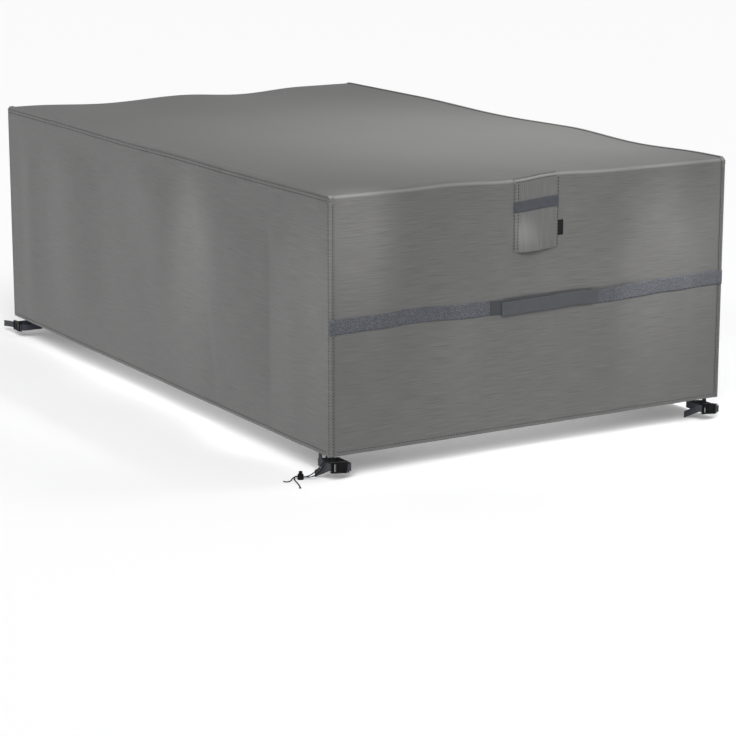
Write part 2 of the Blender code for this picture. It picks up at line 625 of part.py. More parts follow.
def cord(name, finish):
    """One end of the drawcord. It runs straight where it passes through the lock."""
    side = LOCK_HEADING.cross(Vector((0, 0, 1))) * CORD_SIDE[name]
    through = LOCK_AT + Vector((0, 0, GROUND_Z + CORD_LIFT)) + side
    route, kept = [], []
    for row in CORD_ROUTES[name]:
        if row == "lock":
            kept = [len(route) + 1, len(route) + 2]
            mouth = LOCK_RADIUS + 0.001
            route += [through + LOCK_HEADING * reach for reach in (-mouth - 0.005, -mouth, mouth, mouth + 0.004)]
        else:
            route.append(Vector(row))
    points = smooth_route(route, 2.2 * CORD, kept)
    curve = bpy.data.curves.new(name, "CURVE")
    curve.dimensions = "3D"
    curve.bevel_depth = CORD / 2
    curve.bevel_resolution = 2
    curve.use_fill_caps = True
    spline = curve.splines.new("POLY")
    spline.points.add(len(points) - 1)
    for target, point in zip(spline.points, points):
        target.co = (*point, 1.0)
    new_object(name, curve, finish)
    return points


def knot(cord_line, finish):
    """A small overhand knot, pulled tight, at the end of the long cord."""
    along = (cord_line[-1] - cord_line[-2]).normalized()
    bm = bmesh.new()
    bmesh.ops.create_icosphere(bm, subdivisions=1, radius=KNOT_RADIUS)
    middle = cord_line[-1] + along * (KNOT_RADIUS + GAP)
    middle.z = GROUND_Z + KNOT_RADIUS + GAP
    bmesh.ops.translate(bm, verts=bm.verts, vec=middle)
    return object_from("cord_knot", bm, finish, 80)


def cord_lock(plastic):
    """A round lock that stands on the ground. Its button slides in a bore and has a slot for the two cords."""
    base = GROUND_Z + 0.0002
    bore = BUTTON_RADIUS + BORE_CLEARANCE
    floor = base + 0.0012
    top = base + LOCK_TALL
    edge = 0.002
    outline = [(0, base), (LOCK_RADIUS - edge, base), (LOCK_RADIUS, base + edge), (LOCK_RADIUS, top - 2 * edge)]
    outline += [(LOCK_RADIUS - edge / 2, top - edge / 2), (LOCK_RADIUS - 1.5 * edge, top)]
    outline += [(bore, top), (bore, floor), (0, floor)]
    body = turned("cord_lock_body", outline, 20, plastic)

    foot = floor + BUTTON_TRAVEL + 0.0004
    head_z = top + BUTTON_TRAVEL + 0.0003
    crown = top + BUTTON_SHOWS
    outline = [(0, foot), (BUTTON_RADIUS, foot), (BUTTON_RADIUS, head_z), (BUTTON_HEAD, head_z)]
    outline += [(BUTTON_HEAD, crown - 0.0015), (BUTTON_HEAD - 0.0012, crown - 0.0004), (0, crown)]
    button = turned("cord_lock_button", outline, 16, plastic)

    turn = Matrix.Rotation(math.atan2(LOCK_HEADING.y, LOCK_HEADING.x), 4, "Z")
    middle = GROUND_Z + CORD_LIFT
    low, high = middle - CORD_HOLE_TALL / 2, middle + CORD_HOLE_TALL / 2
    for piece, top_of_hole in ((body, high), (button, high + BUTTON_TRAVEL)):
        hole = block("cord_hole", (-0.02, -CORD_HOLE_WIDE / 2, low), (0.02, CORD_HOLE_WIDE / 2, top_of_hole), plastic)
        hole.data.transform(turn)
        combine(piece, "DIFFERENCE", [hole])
        hole.location = piece.location = LOCK_AT


def build():
    clear_scene()
    cloth = material("cover_cloth", (0.165, 0.165, 0.16), 0.85)
    fuzzy = material("loop_tape", (0.10, 0.105, 0.12), 0.95)
    smooth = material("hook_tape", (0.06, 0.062, 0.07), 0.7)
    narrow = material("vent_tape_cloth", (0.075, 0.078, 0.09), 0.8)
    tag = material("woven_tag", (0.01, 0.01, 0.01), 0.7)
    strap = material("webbing", (0.035, 0.038, 0.045), 0.8)
    plastic = material("buckle_plastic", (0.008, 0.008, 0.009), 0.4)
    braid = material("drawcord", (0.02, 0.022, 0.024), 0.8)

    centre_panel(cloth)
    side_panel("side_panel_near", -1, cloth)
    side_panel("side_panel_far", 1, cloth)
    bands(fuzzy, smooth)
    vent(cloth, narrow, tag)
    for row in CORNERS:
        corner_strap(row, strap, plastic)
    cord("cord_short", braid)
    knot(cord("cord_long", braid), braid)
    cord_lock(plastic)


build()
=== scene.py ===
import math

import bpy
from mathutils import Matrix, Vector, noise


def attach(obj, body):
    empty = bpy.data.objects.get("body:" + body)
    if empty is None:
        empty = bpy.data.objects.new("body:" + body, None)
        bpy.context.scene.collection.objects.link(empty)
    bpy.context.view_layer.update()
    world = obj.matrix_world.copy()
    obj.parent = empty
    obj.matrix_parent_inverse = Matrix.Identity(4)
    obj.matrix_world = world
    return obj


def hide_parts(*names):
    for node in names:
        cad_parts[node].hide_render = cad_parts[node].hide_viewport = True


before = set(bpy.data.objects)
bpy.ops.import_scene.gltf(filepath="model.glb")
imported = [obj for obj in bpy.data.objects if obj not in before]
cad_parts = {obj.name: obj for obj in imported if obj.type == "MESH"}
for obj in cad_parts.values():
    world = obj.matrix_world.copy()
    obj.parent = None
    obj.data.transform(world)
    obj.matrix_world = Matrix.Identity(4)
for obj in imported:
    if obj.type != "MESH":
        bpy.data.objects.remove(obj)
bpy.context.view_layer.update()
bpy.ops.object.select_all(action="DESELECT")

# --- Camera ---
# The picture is taken from in front of the cover's near corner, a little above its top, with a long lens.
CAMERA_AT = Vector((6.6153682, -3.87334465, 1.0523904))
CAMERA_LOOKS_AT = Vector((0.8157119, -0.39063845, -0.5443925))
LENS_MM = 121.41

camera_data = bpy.data.cameras.new("camera")
camera_data.lens = LENS_MM
camera_data.sensor_width = 36.0
camera_data.clip_end = 100.0
camera = bpy.data.objects.new("camera", camera_data)
camera.location = CAMERA_AT
camera.rotation_euler = (CAMERA_LOOKS_AT - CAMERA_AT).to_track_quat("-Z", "Y").to_euler()
bpy.context.scene.collection.objects.link(camera)
bpy.context.scene.camera = camera

# --- Drawcord ---
# The two free ends of the cord that draws the hem in: a round 3 mm braid. They leave the hem at the near
# corner, run through the cord lock and lie on the ground. The long one ends in a knot pulled tight, and
# the short one is cut hot.
HEM_Z = -0.7084  # the hem's lower edge
GROUND_Z = -0.7734  # the ground on which the lock stands and the ends lie
CORD = 0.003
KNOT_RADIUS = 0.0028
LOCK_AT = Vector((1.0085, -0.7180, 0.0))
LOCK_HEADING = Vector((-0.60, -0.80, 0.0))
LOCK_RADIUS = 0.0085
CORD_LIFT = 0.0074  # height of the cords' middle in the lock
CORD_LIES = GROUND_Z + 0.0017  # height of a cord's middle on the ground
CORD_ROUTES = {
    "cord_short": (
        (1.0430, -0.6584, HEM_Z - 0.0004),
        (1.0430, -0.6590, HEM_Z - 0.0050),
        (1.0415, -0.6640, HEM_Z - 0.0140),
        (1.0350, -0.6760, HEM_Z - 0.0330),
        (1.0240, -0.6930, HEM_Z - 0.0510),
        "lock",
        (1.0000, -0.7385, GROUND_Z + 0.0030),
        (1.0085, -0.7475, CORD_LIES),
        (1.0155, -0.7560, CORD_LIES),
        (1.0165, -0.7650, CORD_LIES),
        (1.0070, -0.7705, CORD_LIES),
    ),
    "cord_long": (
        (1.0475, -0.6584, HEM_Z - 0.0004),
        (1.0475, -0.6590, HEM_Z - 0.0050),
        (1.0475, -0.6650, HEM_Z - 0.0180),
        (1.0430, -0.6770, HEM_Z - 0.0400),
        (1.0310, -0.6935, HEM_Z - 0.0550),
        "lock",
        (1.0065, -0.7365, GROUND_Z + 0.0040),
        (1.0170, -0.7395, GROUND_Z + 0.0020),
        (1.0350, -0.7445, CORD_LIES),
        (1.0560, -0.7505, CORD_LIES),
        (1.0740, -0.7570, CORD_LIES),
        (1.0850, -0.7625, CORD_LIES),
    ),
}
CORD_SIDE = {"cord_short": 0.0018, "cord_long": -0.0018}  # where each lies in the lock, across its heading
CORD_STEP = 0.0011  # between the rings of the braid
KNOT_TURNS, KNOT_STEPS = 2.0, 60  # how often the cord goes round in the knot, and the rings of its braid


def node(tree, kind, sockets=None, **settings):
    """A shader node. sockets: values, or outputs of other nodes, for its inputs by name or number."""
    made = tree.nodes.new("ShaderNode" + kind)
    for setting, value in settings.items():
        setattr(made, setting, value)
    for socket, value in (sockets or {}).items():
        if isinstance(value, bpy.types.NodeSocket):
            tree.links.new(value, made.inputs[socket])
        else:
            made.inputs[socket].default_value = value
    return made


def new_finish(name, colour, roughness, sheen=0.0, specular=0.5):
    """A material with its even values on the shader itself. Gives the material, its tree and its shader."""
    finish = bpy.data.materials.new(name)
    finish.use_nodes = True
    shader = finish.node_tree.nodes["Principled BSDF"]
    shader.inputs["Base Color"].default_value = (*colour, 1.0)
    shader.inputs["Roughness"].default_value = roughness
    shader.inputs["Sheen Weight"].default_value = sheen
    shader.inputs["Specular IOR Level"].default_value = specular
    return finish, finish.node_tree, shader


def colour_between(tree, shader, factor, dark, light, dark_at=0.0, light_at=1.0):
    """Lets a factor choose between a dark and a light shade of a finish."""
    ramp = node(tree, "ValToRGB", {"Fac": factor})
    for stop, shade, at in zip(ramp.color_ramp.elements, (dark, light), (dark_at, light_at)):
        stop.color = (*shade, 1.0)
        stop.position = at
    tree.links.new(ramp.outputs["Color"], shader.inputs["Base Color"])


def bump(tree, shader, height, depth, strength=1.0):
    """Relief of a given depth, which catches the light."""
    raised = node(tree, "Bump", {"Height": height, "Distance": depth, "Strength": strength})
    tree.links.new(raised.outputs["Normal"], shader.inputs["Normal"])


def maths(tree, operation, *terms):
    """One step of reckoning on factors and numbers."""
    return node(tree, "Math", dict(enumerate(terms)), operation=operation).outputs[0]


def sum_of(tree, first, share, second, other_share):
    """Two factors added in the given shares."""
    return maths(tree, "MULTIPLY_ADD", second, other_share, maths(tree, "MULTIPLY", first, share))


def thread_lines(tree, place, scale, distortion=0.0, across="X"):
    """A factor that rises and falls from thread to thread."""
    sockets = {"Vector": place, "Scale": scale, "Distortion": distortion}
    return node(tree, "TexWave", sockets, bands_direction=across).outputs["Fac"]


def laid_flat(tree):
    """Places on the piece's own flat layout."""
    return node(tree, "UVMap", uv_map="flat").outputs["UV"]


def lengths_along(line):
    """How far along a line each of its points is."""
    lengths = [0.0]
    for a, b in zip(line, line[1:]):
        lengths.append(lengths[-1] + math.dist(a, b))
    return lengths


def stretch_at(lengths, wanted):
    """Which stretch of a line a length ends in, and the share of the stretch that it takes up."""
    k = 0
    while k < len(lengths) - 2 and lengths[k + 1] < wanted:
        k += 1
    return k, min((wanted - lengths[k]) / max(lengths[k + 1] - lengths[k], 1e-9), 1.0)


def smooth_route(points, spacing, kept):
    """Even places on a smooth curve through a route. kept: which of the route's points stay."""
    ends = [2 * points[0] - points[1]] + points + [2 * points[-1] - points[-2]]
    fine, steps = [], 20
    for p0, p1, p2, p3 in zip(ends, ends[1:], ends[2:], ends[3:]):
        bend = (2 * p0 - 5 * p1 + 4 * p2 - p3, 3 * p1 - p0 - 3 * p2 + p3)
        for step in range(steps):
            t = step / steps
            fine.append(0.5 * (2 * p1 + (p2 - p0) * t + bend[0] * t**2 + bend[1] * t**3))
    fine.append(points[-1])
    picked = [points[0]]
    stops = [0, *kept, len(points) - 1]
    for start, end in zip(stops, stops[1:]):
        run = fine[start * steps : end * steps + 1]
        lengths = lengths_along(run)
        count = max(1, round(lengths[-1] / spacing))
        for n in range(1, count + 1):
            k, share = stretch_at(lengths, lengths[-1] * n / count)
            picked.append(run[k].lerp(run[k + 1], share))
    return picked


def cord_line(name):
    """A cord's middle line. It runs straight where it passes through the lock."""
    side = LOCK_HEADING.cross(Vector((0, 0, 1))) * CORD_SIDE[name]
    through = LOCK_AT + Vector((0, 0, GROUND_Z + CORD_LIFT)) + side
    mouth = LOCK_RADIUS + 0.001
    route, kept = [], []
    for row in CORD_ROUTES[name]:
        if row == "lock":
            kept = [len(route) + 1, len(route) + 2]
            reaches = (-mouth - 0.005, -mouth, mouth, mouth + 0.004)
            route += [through + LOCK_HEADING * reach for reach in reaches]
        else:
            route.append(Vector(row))
    return smooth_route(route, CORD_STEP, kept)


def add_piece(name, points, faces, flat, finish):
    """A new object from points and faces. flat: each point's place in the piece's own UV map."""
    mesh = bpy.data.meshes.new(name)
    mesh.from_pydata(points, [], faces)
    layer = mesh.uv_layers.new(name="flat")
    layer.data.foreach_set("uv", [value for loop in mesh.loops for value in flat[loop.vertex_index]])
    mesh.shade_smooth()
    mesh.materials.append(finish)
    piece = bpy.data.objects.new(name, mesh)
    bpy.context.scene.collection.objects.link(piece)
    return piece


def grid_faces(rows, columns):
    """The four-sided faces between the points of a grid."""
    corners = [row * columns + column for row in range(rows - 1) for column in range(columns - 1)]
    return [(corner, corner + 1, corner + columns + 1, corner + columns) for corner in corners]


def take_up(piece):
    """Selects one piece and nothing else."""
    bpy.ops.object.select_all(action="DESELECT")
    bpy.context.view_layer.objects.active = piece
    piece.select_set(True)


def done():
    """Leaves edit mode with nothing selected."""
    bpy.ops.object.mode_set(mode="OBJECT")
    bpy.ops.object.select_all(action="DESELECT")


def close_up(piece):
    """Merges a piece's doubled points and turns its faces outwards."""
    take_up(piece)
    bpy.ops.object.mode_set(mode="EDIT")
    bpy.ops.mesh.select_all(action="SELECT")
    bpy.ops.mesh.remove_doubles(threshold=1e-6)
    bpy.ops.mesh.normals_make_consistent(inside=False)
    done()


def stands_for(piece, cad_node, body="cover"):
    """Fixes a piece to its body, and hides the CAD node that it stands for."""
    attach(piece, body)
    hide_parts(cad_node)


def braided_tube(cad_node, line, radius, finish):
    """A round braid along a line. Its strands cross on the surface and stand out a little."""
    sides, strands, lay = 20, 5, 2 * math.pi / (5.5 * radius)
    steps = [(b - a).normalized() for a, b in zip(line, line[1:])]
    headings = steps[:1] + [(a + b).normalized() for a, b in zip(steps, steps[1:])] + steps[-1:]
    out = headings[0].orthogonal().normalized()
    points, flat = [], []
    for n, (middle, heading, run) in enumerate(zip(line, headings, lengths_along(line))):
        out = (out - heading * out.dot(heading)).normalized()
        closing = 0.82 if n in (0, len(line) - 1) else 1.0
        for k in range(sides + 1):
            around = 2 * math.pi * k / sides
            crossing = math.cos(strands * around + lay * run) * math.cos(strands * around - lay * run)
            reach = radius * closing * (0.96 + 0.05 * crossing)
            points.append(middle + (out * math.cos(around) + heading.cross(out) * math.sin(around)) * reach)
            flat.append((k / sides, run / (2 * math.pi * radius)))
    ring = sides + 1
    faces = grid_faces(len(line), ring)
    for n in (0, len(line) - 1):
        points.append(line[n])
        flat.append((0.5, 0.0))
        for k in range(sides):
            pair = (n * ring + k + 1, n * ring + k)
            faces.append((len(points) - 1, *(pair if n == 0 else pair[::-1])))
    tube = add_piece(f"{cad_node}_braid", points, faces, flat, finish)
    close_up(tube)
    stands_for(tube, cad_node)
    return tube


braid, tree, shader = new_finish("black_braid", (0.012, 0.012, 0.013), 0.8, specular=0.2)
strands = []
for lay_deg in (35, -35):
    turned = {"Vector": laid_flat(tree), "Scale": (5.0, 1.8, 1.0), "Rotation": (0, 0, math.radians(lay_deg))}
    strands.append(thread_lines(tree, node(tree, "Mapping", turned).outputs[0], 1.6, 0.3))
weave = sum_of(tree, strands[0], 0.5, strands[1], 0.5)
colour_between(tree, shader, weave, (0.0015, 0.0015, 0.002), (0.009, 0.0093, 0.0105))
bump(tree, shader, weave, 0.0002)

cord_lines = {name: cord_line(name) for name in CORD_ROUTES}
cords = {name: braided_tube(name, line, CORD / 2, braid) for name, line in cord_lines.items()}

long_end = cord_lines["cord_long"][-1]
end_heading = (long_end - cord_lines["cord_long"][-2]).normalized()
knot_middle = long_end + end_heading * (KNOT_RADIUS + 0.0003)
knot_middle.z = GROUND_Z + KNOT_RADIUS + 0.0003
knot_line = []
for n in range(KNOT_STEPS + 1):
    around = KNOT_TURNS * 2 * math.pi * n / KNOT_STEPS
    reach = 0.0012 * (2 + math.cos(1.5 * around)) / 3 + 0.0002
    forward = end_heading * (0.0011 * math.sin(1.5 * around))
    sideways = end_heading.cross(Vector((0, 0, 1))) * (reach * math.cos(around))
    knot_line.append(knot_middle + forward + sideways + Vector((0, 0, reach * math.sin(around))))
knot = braided_tube("cord_knot", knot_line, CORD / 2 * 0.93, braid)

# --- Cord lock ---
# A barrel lock of moulded black nylon that stands on the ground. The two cords run through a slot in its
# body and in its button, which a spring pushes up to grip them. The body has grip rings, and the button a
# domed head.
LOCK_TALL, LOCK_FLOOR = 0.0150, 0.0012
LOCK_RINGS, RING_DEEP = (0.0045, 0.0075, 0.0105), 0.0006
BUTTON_RADIUS, BUTTON_HEAD, BUTTON_SHOWS = 0.0044, 0.0053, 0.0078
BUTTON_TRAVEL = 0.003
BORE = BUTTON_RADIUS + 0.0003
CORD_HOLE_WIDE, CORD_HOLE_TALL = 0.0074, 0.0036
LOCK_BASE = GROUND_Z + 0.0002


def pick(piece, kind, wanted):
    """Opens a piece in edit mode with some of its faces or edges selected, by a test of where they are."""
    take_up(piece)
    bpy.ops.object.mode_set(mode="EDIT")
    bpy.ops.mesh.select_mode(type=kind)
    bpy.ops.mesh.select_all(action="DESELECT")
    bpy.ops.object.mode_set(mode="OBJECT")
    if kind == "FACE":
        for face in piece.data.polygons:
            face.select = wanted(face.center, face.normal)
    else:
        for edge in piece.data.edges:
            edge.select = wanted(*[piece.data.vertices[index].co for index in edge.vertices])
    bpy.ops.object.mode_set(mode="EDIT")


def settle(name):
    """Names the primitive just added, and takes its place and size into its mesh."""
    piece = bpy.context.object
    piece.name = piece.data.name = name
    bpy.ops.object.transform_apply(location=True, rotation=True, scale=True)
    return piece


def box_piece(name, low, high):
    """A cube added between two corners."""
    bpy.ops.object.select_all(action="DESELECT")
    middle = (Vector(high) + Vector(low)) / 2
    bpy.ops.mesh.primitive_cube_add(size=1.0, location=middle, scale=Vector(high) - Vector(low))
    return settle(name)


def round_piece(name, radius, low, high, sides):
    """An upright cylinder between two heights."""
    bpy.ops.object.select_all(action="DESELECT")
    middle = (0, 0, (low + high) / 2)
    bpy.ops.mesh.primitive_cylinder_add(vertices=sides, radius=radius, depth=high - low, location=middle)
    return settle(name)


def finish_with(piece, kind, **settings):
    """Adds a modifier to a piece and applies it."""
    modifier = piece.modifiers.new(kind.lower(), kind)
    for setting, value in settings.items():
        setattr(modifier, setting, value)
    bpy.context.view_layer.objects.active = piece
    bpy.ops.object.modifier_apply(modifier=modifier.name)


def cut_or_join(piece, operation, other):
    """Cuts another solid from a piece, or joins it to the piece, and removes it."""
    finish_with(piece, "BOOLEAN", operation=operation, object=other)
    bpy.data.objects.remove(other, do_unlink=True)


def soften(piece, width, segments=2):
    """Rounds all the sharp edges of a moulded piece."""
    sharp = {"limit_method": "ANGLE", "angle_limit": math.radians(35), "use_clamp_overlap": True}
    finish_with(piece, "BEVEL", width=width, segments=segments, **sharp)


def graded(tree, factor, low, high, at_low, at_high):
    """Turns a factor's range into another range."""
    sockets = {"Value": factor, "From Min": low, "From Max": high, "To Min": at_low, "To Max": at_high}
    return node(tree, "MapRange", sockets).outputs["Result"]


def mottle(tree, place, scale, detail, roughness=0.5):
    """An uneven, cloudy factor."""
    sockets = {"Vector": place, "Scale": scale, "Detail": detail, "Roughness": roughness}
    return node(tree, "TexNoise", sockets).outputs["Fac"]


nylon, tree, shader = new_finish("black_nylon", (0.003, 0.003, 0.0035), 0.40, specular=0.10)
place = node(tree, "TexCoord").outputs["Object"]
scuffs = mottle(tree, place, 90.0, 5.0, 0.65)
tree.links.new(graded(tree, scuffs, 0.35, 0.7, 0.34, 0.52), shader.inputs["Roughness"])
colour_between(tree, shader, scuffs, (0.0015, 0.0015, 0.0018), (0.005, 0.005, 0.0055))
bump(tree, shader, mottle(tree, place, 1600.0, 3.0), 0.00006)


def mould(piece, cad_node, body="cover"):
    """Gives a moulded piece its nylon finish, with smooth faces between its edges."""
    piece.data.materials.clear()
    piece.data.materials.append(nylon)
    take_up(piece)
    bpy.ops.object.shade_smooth_by_angle(angle=math.radians(40))
    bpy.ops.object.select_all(action="DESELECT")
    stands_for(piece, cad_node, body)


lock_top = LOCK_BASE + LOCK_TALL
lock_body = round_piece("lock_barrel", LOCK_RADIUS, LOCK_BASE, lock_top, 48)
pick(lock_body, "FACE", lambda middle, normal: True)
for ring in LOCK_RINGS:
    for edge_height in (ring - RING_DEEP, ring, ring + RING_DEEP):
        bpy.ops.mesh.select_all(action="SELECT")
        bpy.ops.mesh.bisect(plane_co=(0, 0, LOCK_BASE + edge_height), plane_no=(0, 0, 1))
done()
for vertex in lock_body.data.vertices:
    if any(abs(vertex.co.z - LOCK_BASE - ring) < 0.0001 for ring in LOCK_RINGS):
        vertex.co.xy *= 1 - RING_DEEP / LOCK_RADIUS
pick(lock_body, "FACE", lambda middle, normal: abs(normal.z) > 0.9)
bpy.ops.mesh.inset(thickness=0.0013, use_boundary=True)
done()
for vertex in lock_body.data.vertices:
    if abs(vertex.co.z - lock_top) < 1e-6 and vertex.co.xy.length > LOCK_RADIUS - 0.0002:
        vertex.co.z -= 0.0012
        vertex.co.xy *= 0.985
bore = round_piece("bore", BORE, LOCK_BASE + LOCK_FLOOR, lock_top + 0.01, 32)
cut_or_join(lock_body, "DIFFERENCE", bore)
soften(lock_body, 0.0005)

button_foot = LOCK_BASE + LOCK_FLOOR + BUTTON_TRAVEL + 0.0004
button_neck = lock_top + BUTTON_TRAVEL + 0.0003
button_crown = lock_top + BUTTON_SHOWS
lock_button = round_piece("lock_push", BUTTON_RADIUS, button_foot, button_neck, 32)
pick(lock_button, "FACE", lambda middle, normal: normal.z > 0.9)
# The rings of the head. Columns: rise, width as a share of the ring before it
for rise, widen in (
    (0.00001, BUTTON_HEAD / BUTTON_RADIUS),
    (button_crown - button_neck - 0.0016, 1.0),
    (0.0009, 0.90),
    (0.0005, 0.72),
    (0.0002, 0.35),
):
    bpy.ops.mesh.extrude_region_move(TRANSFORM_OT_translate={"value": (0, 0, rise)})
    bpy.ops.transform.resize(value=(widen, widen, 1))
done()

across_lock = Matrix.Rotation(math.atan2(LOCK_HEADING.y, LOCK_HEADING.x), 4, "Z")
hole_low = GROUND_Z + CORD_LIFT - CORD_HOLE_TALL / 2
hole_high = GROUND_Z + CORD_LIFT + CORD_HOLE_TALL / 2
for lock_piece, taller in ((lock_body, 0.0), (lock_button, BUTTON_TRAVEL)):
    far_corner = (0.02, CORD_HOLE_WIDE / 2, hole_high + taller)
    slot = box_piece("cord_slot", (-0.02, -CORD_HOLE_WIDE / 2, hole_low), far_corner)
    soften(slot, 0.0012, 3)
    slot.data.transform(across_lock)
    cut_or_join(lock_piece, "DIFFERENCE", slot)
    lock_piece.data.transform(Matrix.Translation(LOCK_AT))
mould(lock_body, "cord_lock_body")
mould(lock_button, "cord_lock_button", "lock_button")

# --- Floor and light ---
# A plain pale floor under a dim even sky. A broad sun is the key light, and two soft panels light the near
# end's top edge and the ground under the cover. A set of soft spots makes the patches of light on the folds
# of the walls, on the hood and on the top.
bpy.ops.mesh.primitive_plane_add(size=80.0, location=(0, 0, GROUND_Z))
floor = bpy.context.object
floor.name = "floor"
paper, tree, shader = new_finish("pale_floor", (0.92, 0.92, 0.925), 0.9)
floor.data.materials.append(paper)

world = bpy.data.worlds.new("white_studio")
world.use_nodes = True
world.node_tree.nodes["Background"].inputs["Color"].default_value = (1.0, 1.0, 1.0, 1.0)
world.node_tree.nodes["Background"].inputs["Strength"].default_value = 0.45
bpy.context.scene.world = world
bpy.context.scene.view_settings.view_transform = "Standard"


def soft_light(kind, name, location, aims_at, energy, **settings):
    """A light that shines from one place towards another."""
    light_data = bpy.data.lights.new(name, kind)
    light_data.energy = energy
    for setting, value in settings.items():
        setattr(light_data, setting, value)
    light = bpy.data.objects.new(name, light_data)
    light.location = location
    light.rotation_euler = (Vector(aims_at) - Vector(location)).to_track_quat("-Z", "Y").to_euler()
    bpy.context.scene.collection.objects.link(light)


soft_light("SUN", "key", (3.3, -2.7, 4.0), (0, 0, 0), 2.85, angle=math.radians(42))
soft_light("AREA", "edge", (1.55, 1.35, 2.0), (1.06, 0.25, 0.0), 9.0, size=0.6)
soft_light("AREA", "under", (0, 0, -0.30), (0, 0, -1.0), 6.0, shape="RECTANGLE", size=1.9, size_y=1.1)
# Spots. Columns: name, place, aims at, power, cone in degrees, radius
for name, place, aims_at, power, cone_deg, radius in (
    ("top", (0.85, 0.90, 2.6), (0.28, 0.34, 0.0), 370.0, 42, 0.35),
    ("side_bright", (0.27, -1.30, 0.9), (0.27, -0.66, -0.31), 75.0, 14, 0.06),
    ("side_middle", (-0.20, -1.60, 1.1), (-0.22, -0.66, -0.40), 18.0, 22, 0.15),
    ("side_corner", (1.00, -1.50, 0.9), (0.97, -0.66, -0.33), 45.0, 16, 0.08),
    ("end_bright", (1.75, 0.46, 0.9), (1.06, 0.44, -0.30), 100.0, 16, 0.06),
    ("end_corner", (1.80, -0.62, 0.9), (1.06, -0.58, -0.12), 70.0, 14, 0.06),
    ("end_middle", (2.20, 0.10, 1.1), (1.06, 0.05, -0.30), 40.0, 26, 0.15),
    ("end_fold", (1.75, -0.24, 0.6), (1.06, -0.25, -0.48), 16.0, 9, 0.04),
    ("hood_flank", (1.65, -0.30, 0.35), (1.07, -0.040, -0.155), 24.0, 6, 0.02),
    ("end_right", (1.75, 0.80, 0.9), (1.06, 0.68, -0.25), 50.0, 15, 0.06),
):
    beam = {"spot_size": math.radians(cone_deg), "spot_blend": 1.0, "shadow_soft_size": radius}
    soft_light("SPOT", name, place, aims_at, power, **beam)

# --- Cover cloth: the strip over both ends and the top ---
# One long strip of woven polyester with a matte grey coat. It hangs down at the near end, turns over a rolled
# edge into the top and hangs down at the far end. Both lower edges are turned in to a hem that holds the
# drawcord.
LENGTH = 2.13
WIDTH = 1.32
CLOTH = 0.0016
GAP = 0.0003
HEM = 0.022
HEM_TURN = (CLOTH + 0.0002) / 2  # radius of the hem's turned edge
HEM_TOP = HEM_Z + HEM + 0.002
END_BEND = 0.014
SEAM_LAP = 0.009
SEAM_BEND = 0.004
SEAM_GAP = 0.0006
TOP_Z = CLOTH
MIDDLE_OF_END = LENGTH / 2 - CLOTH / 2
STRIP_EDGE = WIDTH / 2 - CLOTH / 2 - SEAM_BEND
BEND_CENTRE_X = MIDDLE_OF_END - END_BEND
BEND_CENTRE_Z = CLOTH / 2 - END_BEND

# How the top edges dip and rise. Columns: edge, middle along it, half width, reach into the top, rise
EDGE_WAVES = (
    ("far", -0.305, 0.29, 0.40, -0.0100),
    ("far", 0.211, 0.24, 0.35, -0.0115),
    ("back", -0.085, 0.50, 0.30, -0.0080),
    ("back", 0.648, 0.34, 0.30, -0.0095),
    ("front", -0.284, 0.14, 0.15, 0.0027),
    ("front", -0.089, 0.14, 0.20, -0.0040),
    ("front", 0.077, 0.16, 0.20, 0.0060),
    ("near", -0.200, 0.45, 0.20, -0.0030),
    ("near", 0.550, 0.40, 0.20, -0.0020),
)
# Broad swells of the top. Columns: x, y, reach along x, reach along y, rise
SWELLS = (
    (0.35, 0.33, 0.55, 0.32, 0.005),
    (-0.60, -0.25, 0.40, 0.33, -0.006),
    (0.70, -0.20, 0.28, 0.35, -0.005),
)
# Soft ridges and troughs of the walls, deeper than in the solids. Columns: wall, middle along it, half width,
# sideways lean for each metre down, how far down it starts, push outwards
FOLDS = (
    ("near", -0.95, 0.14, 0.00, 0.06, -0.006),
    ("near", -0.57, 0.24, 0.05, 0.05, 0.012),
    ("near", 0.00, 0.24, 0.35, 0.04, 0.011),
    ("near", 0.57, 0.24, 0.00, 0.10, -0.008),
    ("near", 0.86, 0.17, 0.00, 0.08, 0.009),
    ("back", -0.72, 0.30, 0.10, 0.06, 0.009),
    ("back", -0.28, 0.22, -0.10, 0.10, -0.006),
    ("back", 0.10, 0.30, -0.15, 0.05, 0.009),
    ("back", 0.66, 0.28, 0.10, 0.08, 0.009),
    ("front", -0.54, 0.10, 0.05, 0.05, 0.012),
    ("front", -0.23, 0.13, -0.10, 0.08, 0.012),
    ("front", 0.22, 0.12, 0.05, 0.20, 0.012),
    ("front", 0.52, 0.11, 0.00, 0.16, 0.012),
    ("far", -0.44, 0.15, 0.10, 0.06, 0.011),
    ("far", -0.04, 0.20, -0.10, 0.08, 0.009),
    ("far", 0.38, 0.17, 0.05, 0.05, 0.011),
)
# Where the bands' middles run. Columns: y, z
LEFT_BAND = ((-0.66, -0.354), (-0.36, -0.3485), (-0.117, -0.355), (0.19, -0.354))
RIGHT_BAND = (
    (-0.112, -0.362), (0.0, -0.3595), (0.146, -0.356), (0.317, -0.356), (0.49, -0.3495), (0.66, -0.348),
)
BAND_TALL = 0.040
# The cloth swells out above the tight overlap of the bands, between two places along the end
BULGE, BULGE_TURNS, BULGE_FADES = 0.006, 0.010, 0.08
BULGE_FROM, BULGE_TO, BULGE_SETS_IN, BULGE_EASES = -0.13, 0.40, 0.05, 0.12
FOLD_SETS_IN = 0.12
FOLD_EASES_AT, FOLD_EASES_IN, FOLD_EASES_BY = 0.48, 0.22, 0.85  # a fold all but ends at the hem
WALL_REACH = 0.12
CORNER_HELD = 0.08
CORNER_FADE = 0.12
SAG_DEPTH = 0.35
CLOTH_STEP, HEM_STEP = 0.013, 0.006  # between the points of the cloth
BULGE_LOW, BULGE_HIGH, BULGE_STEP = -0.346, -0.310, 0.004  # where they are closer, for the swell


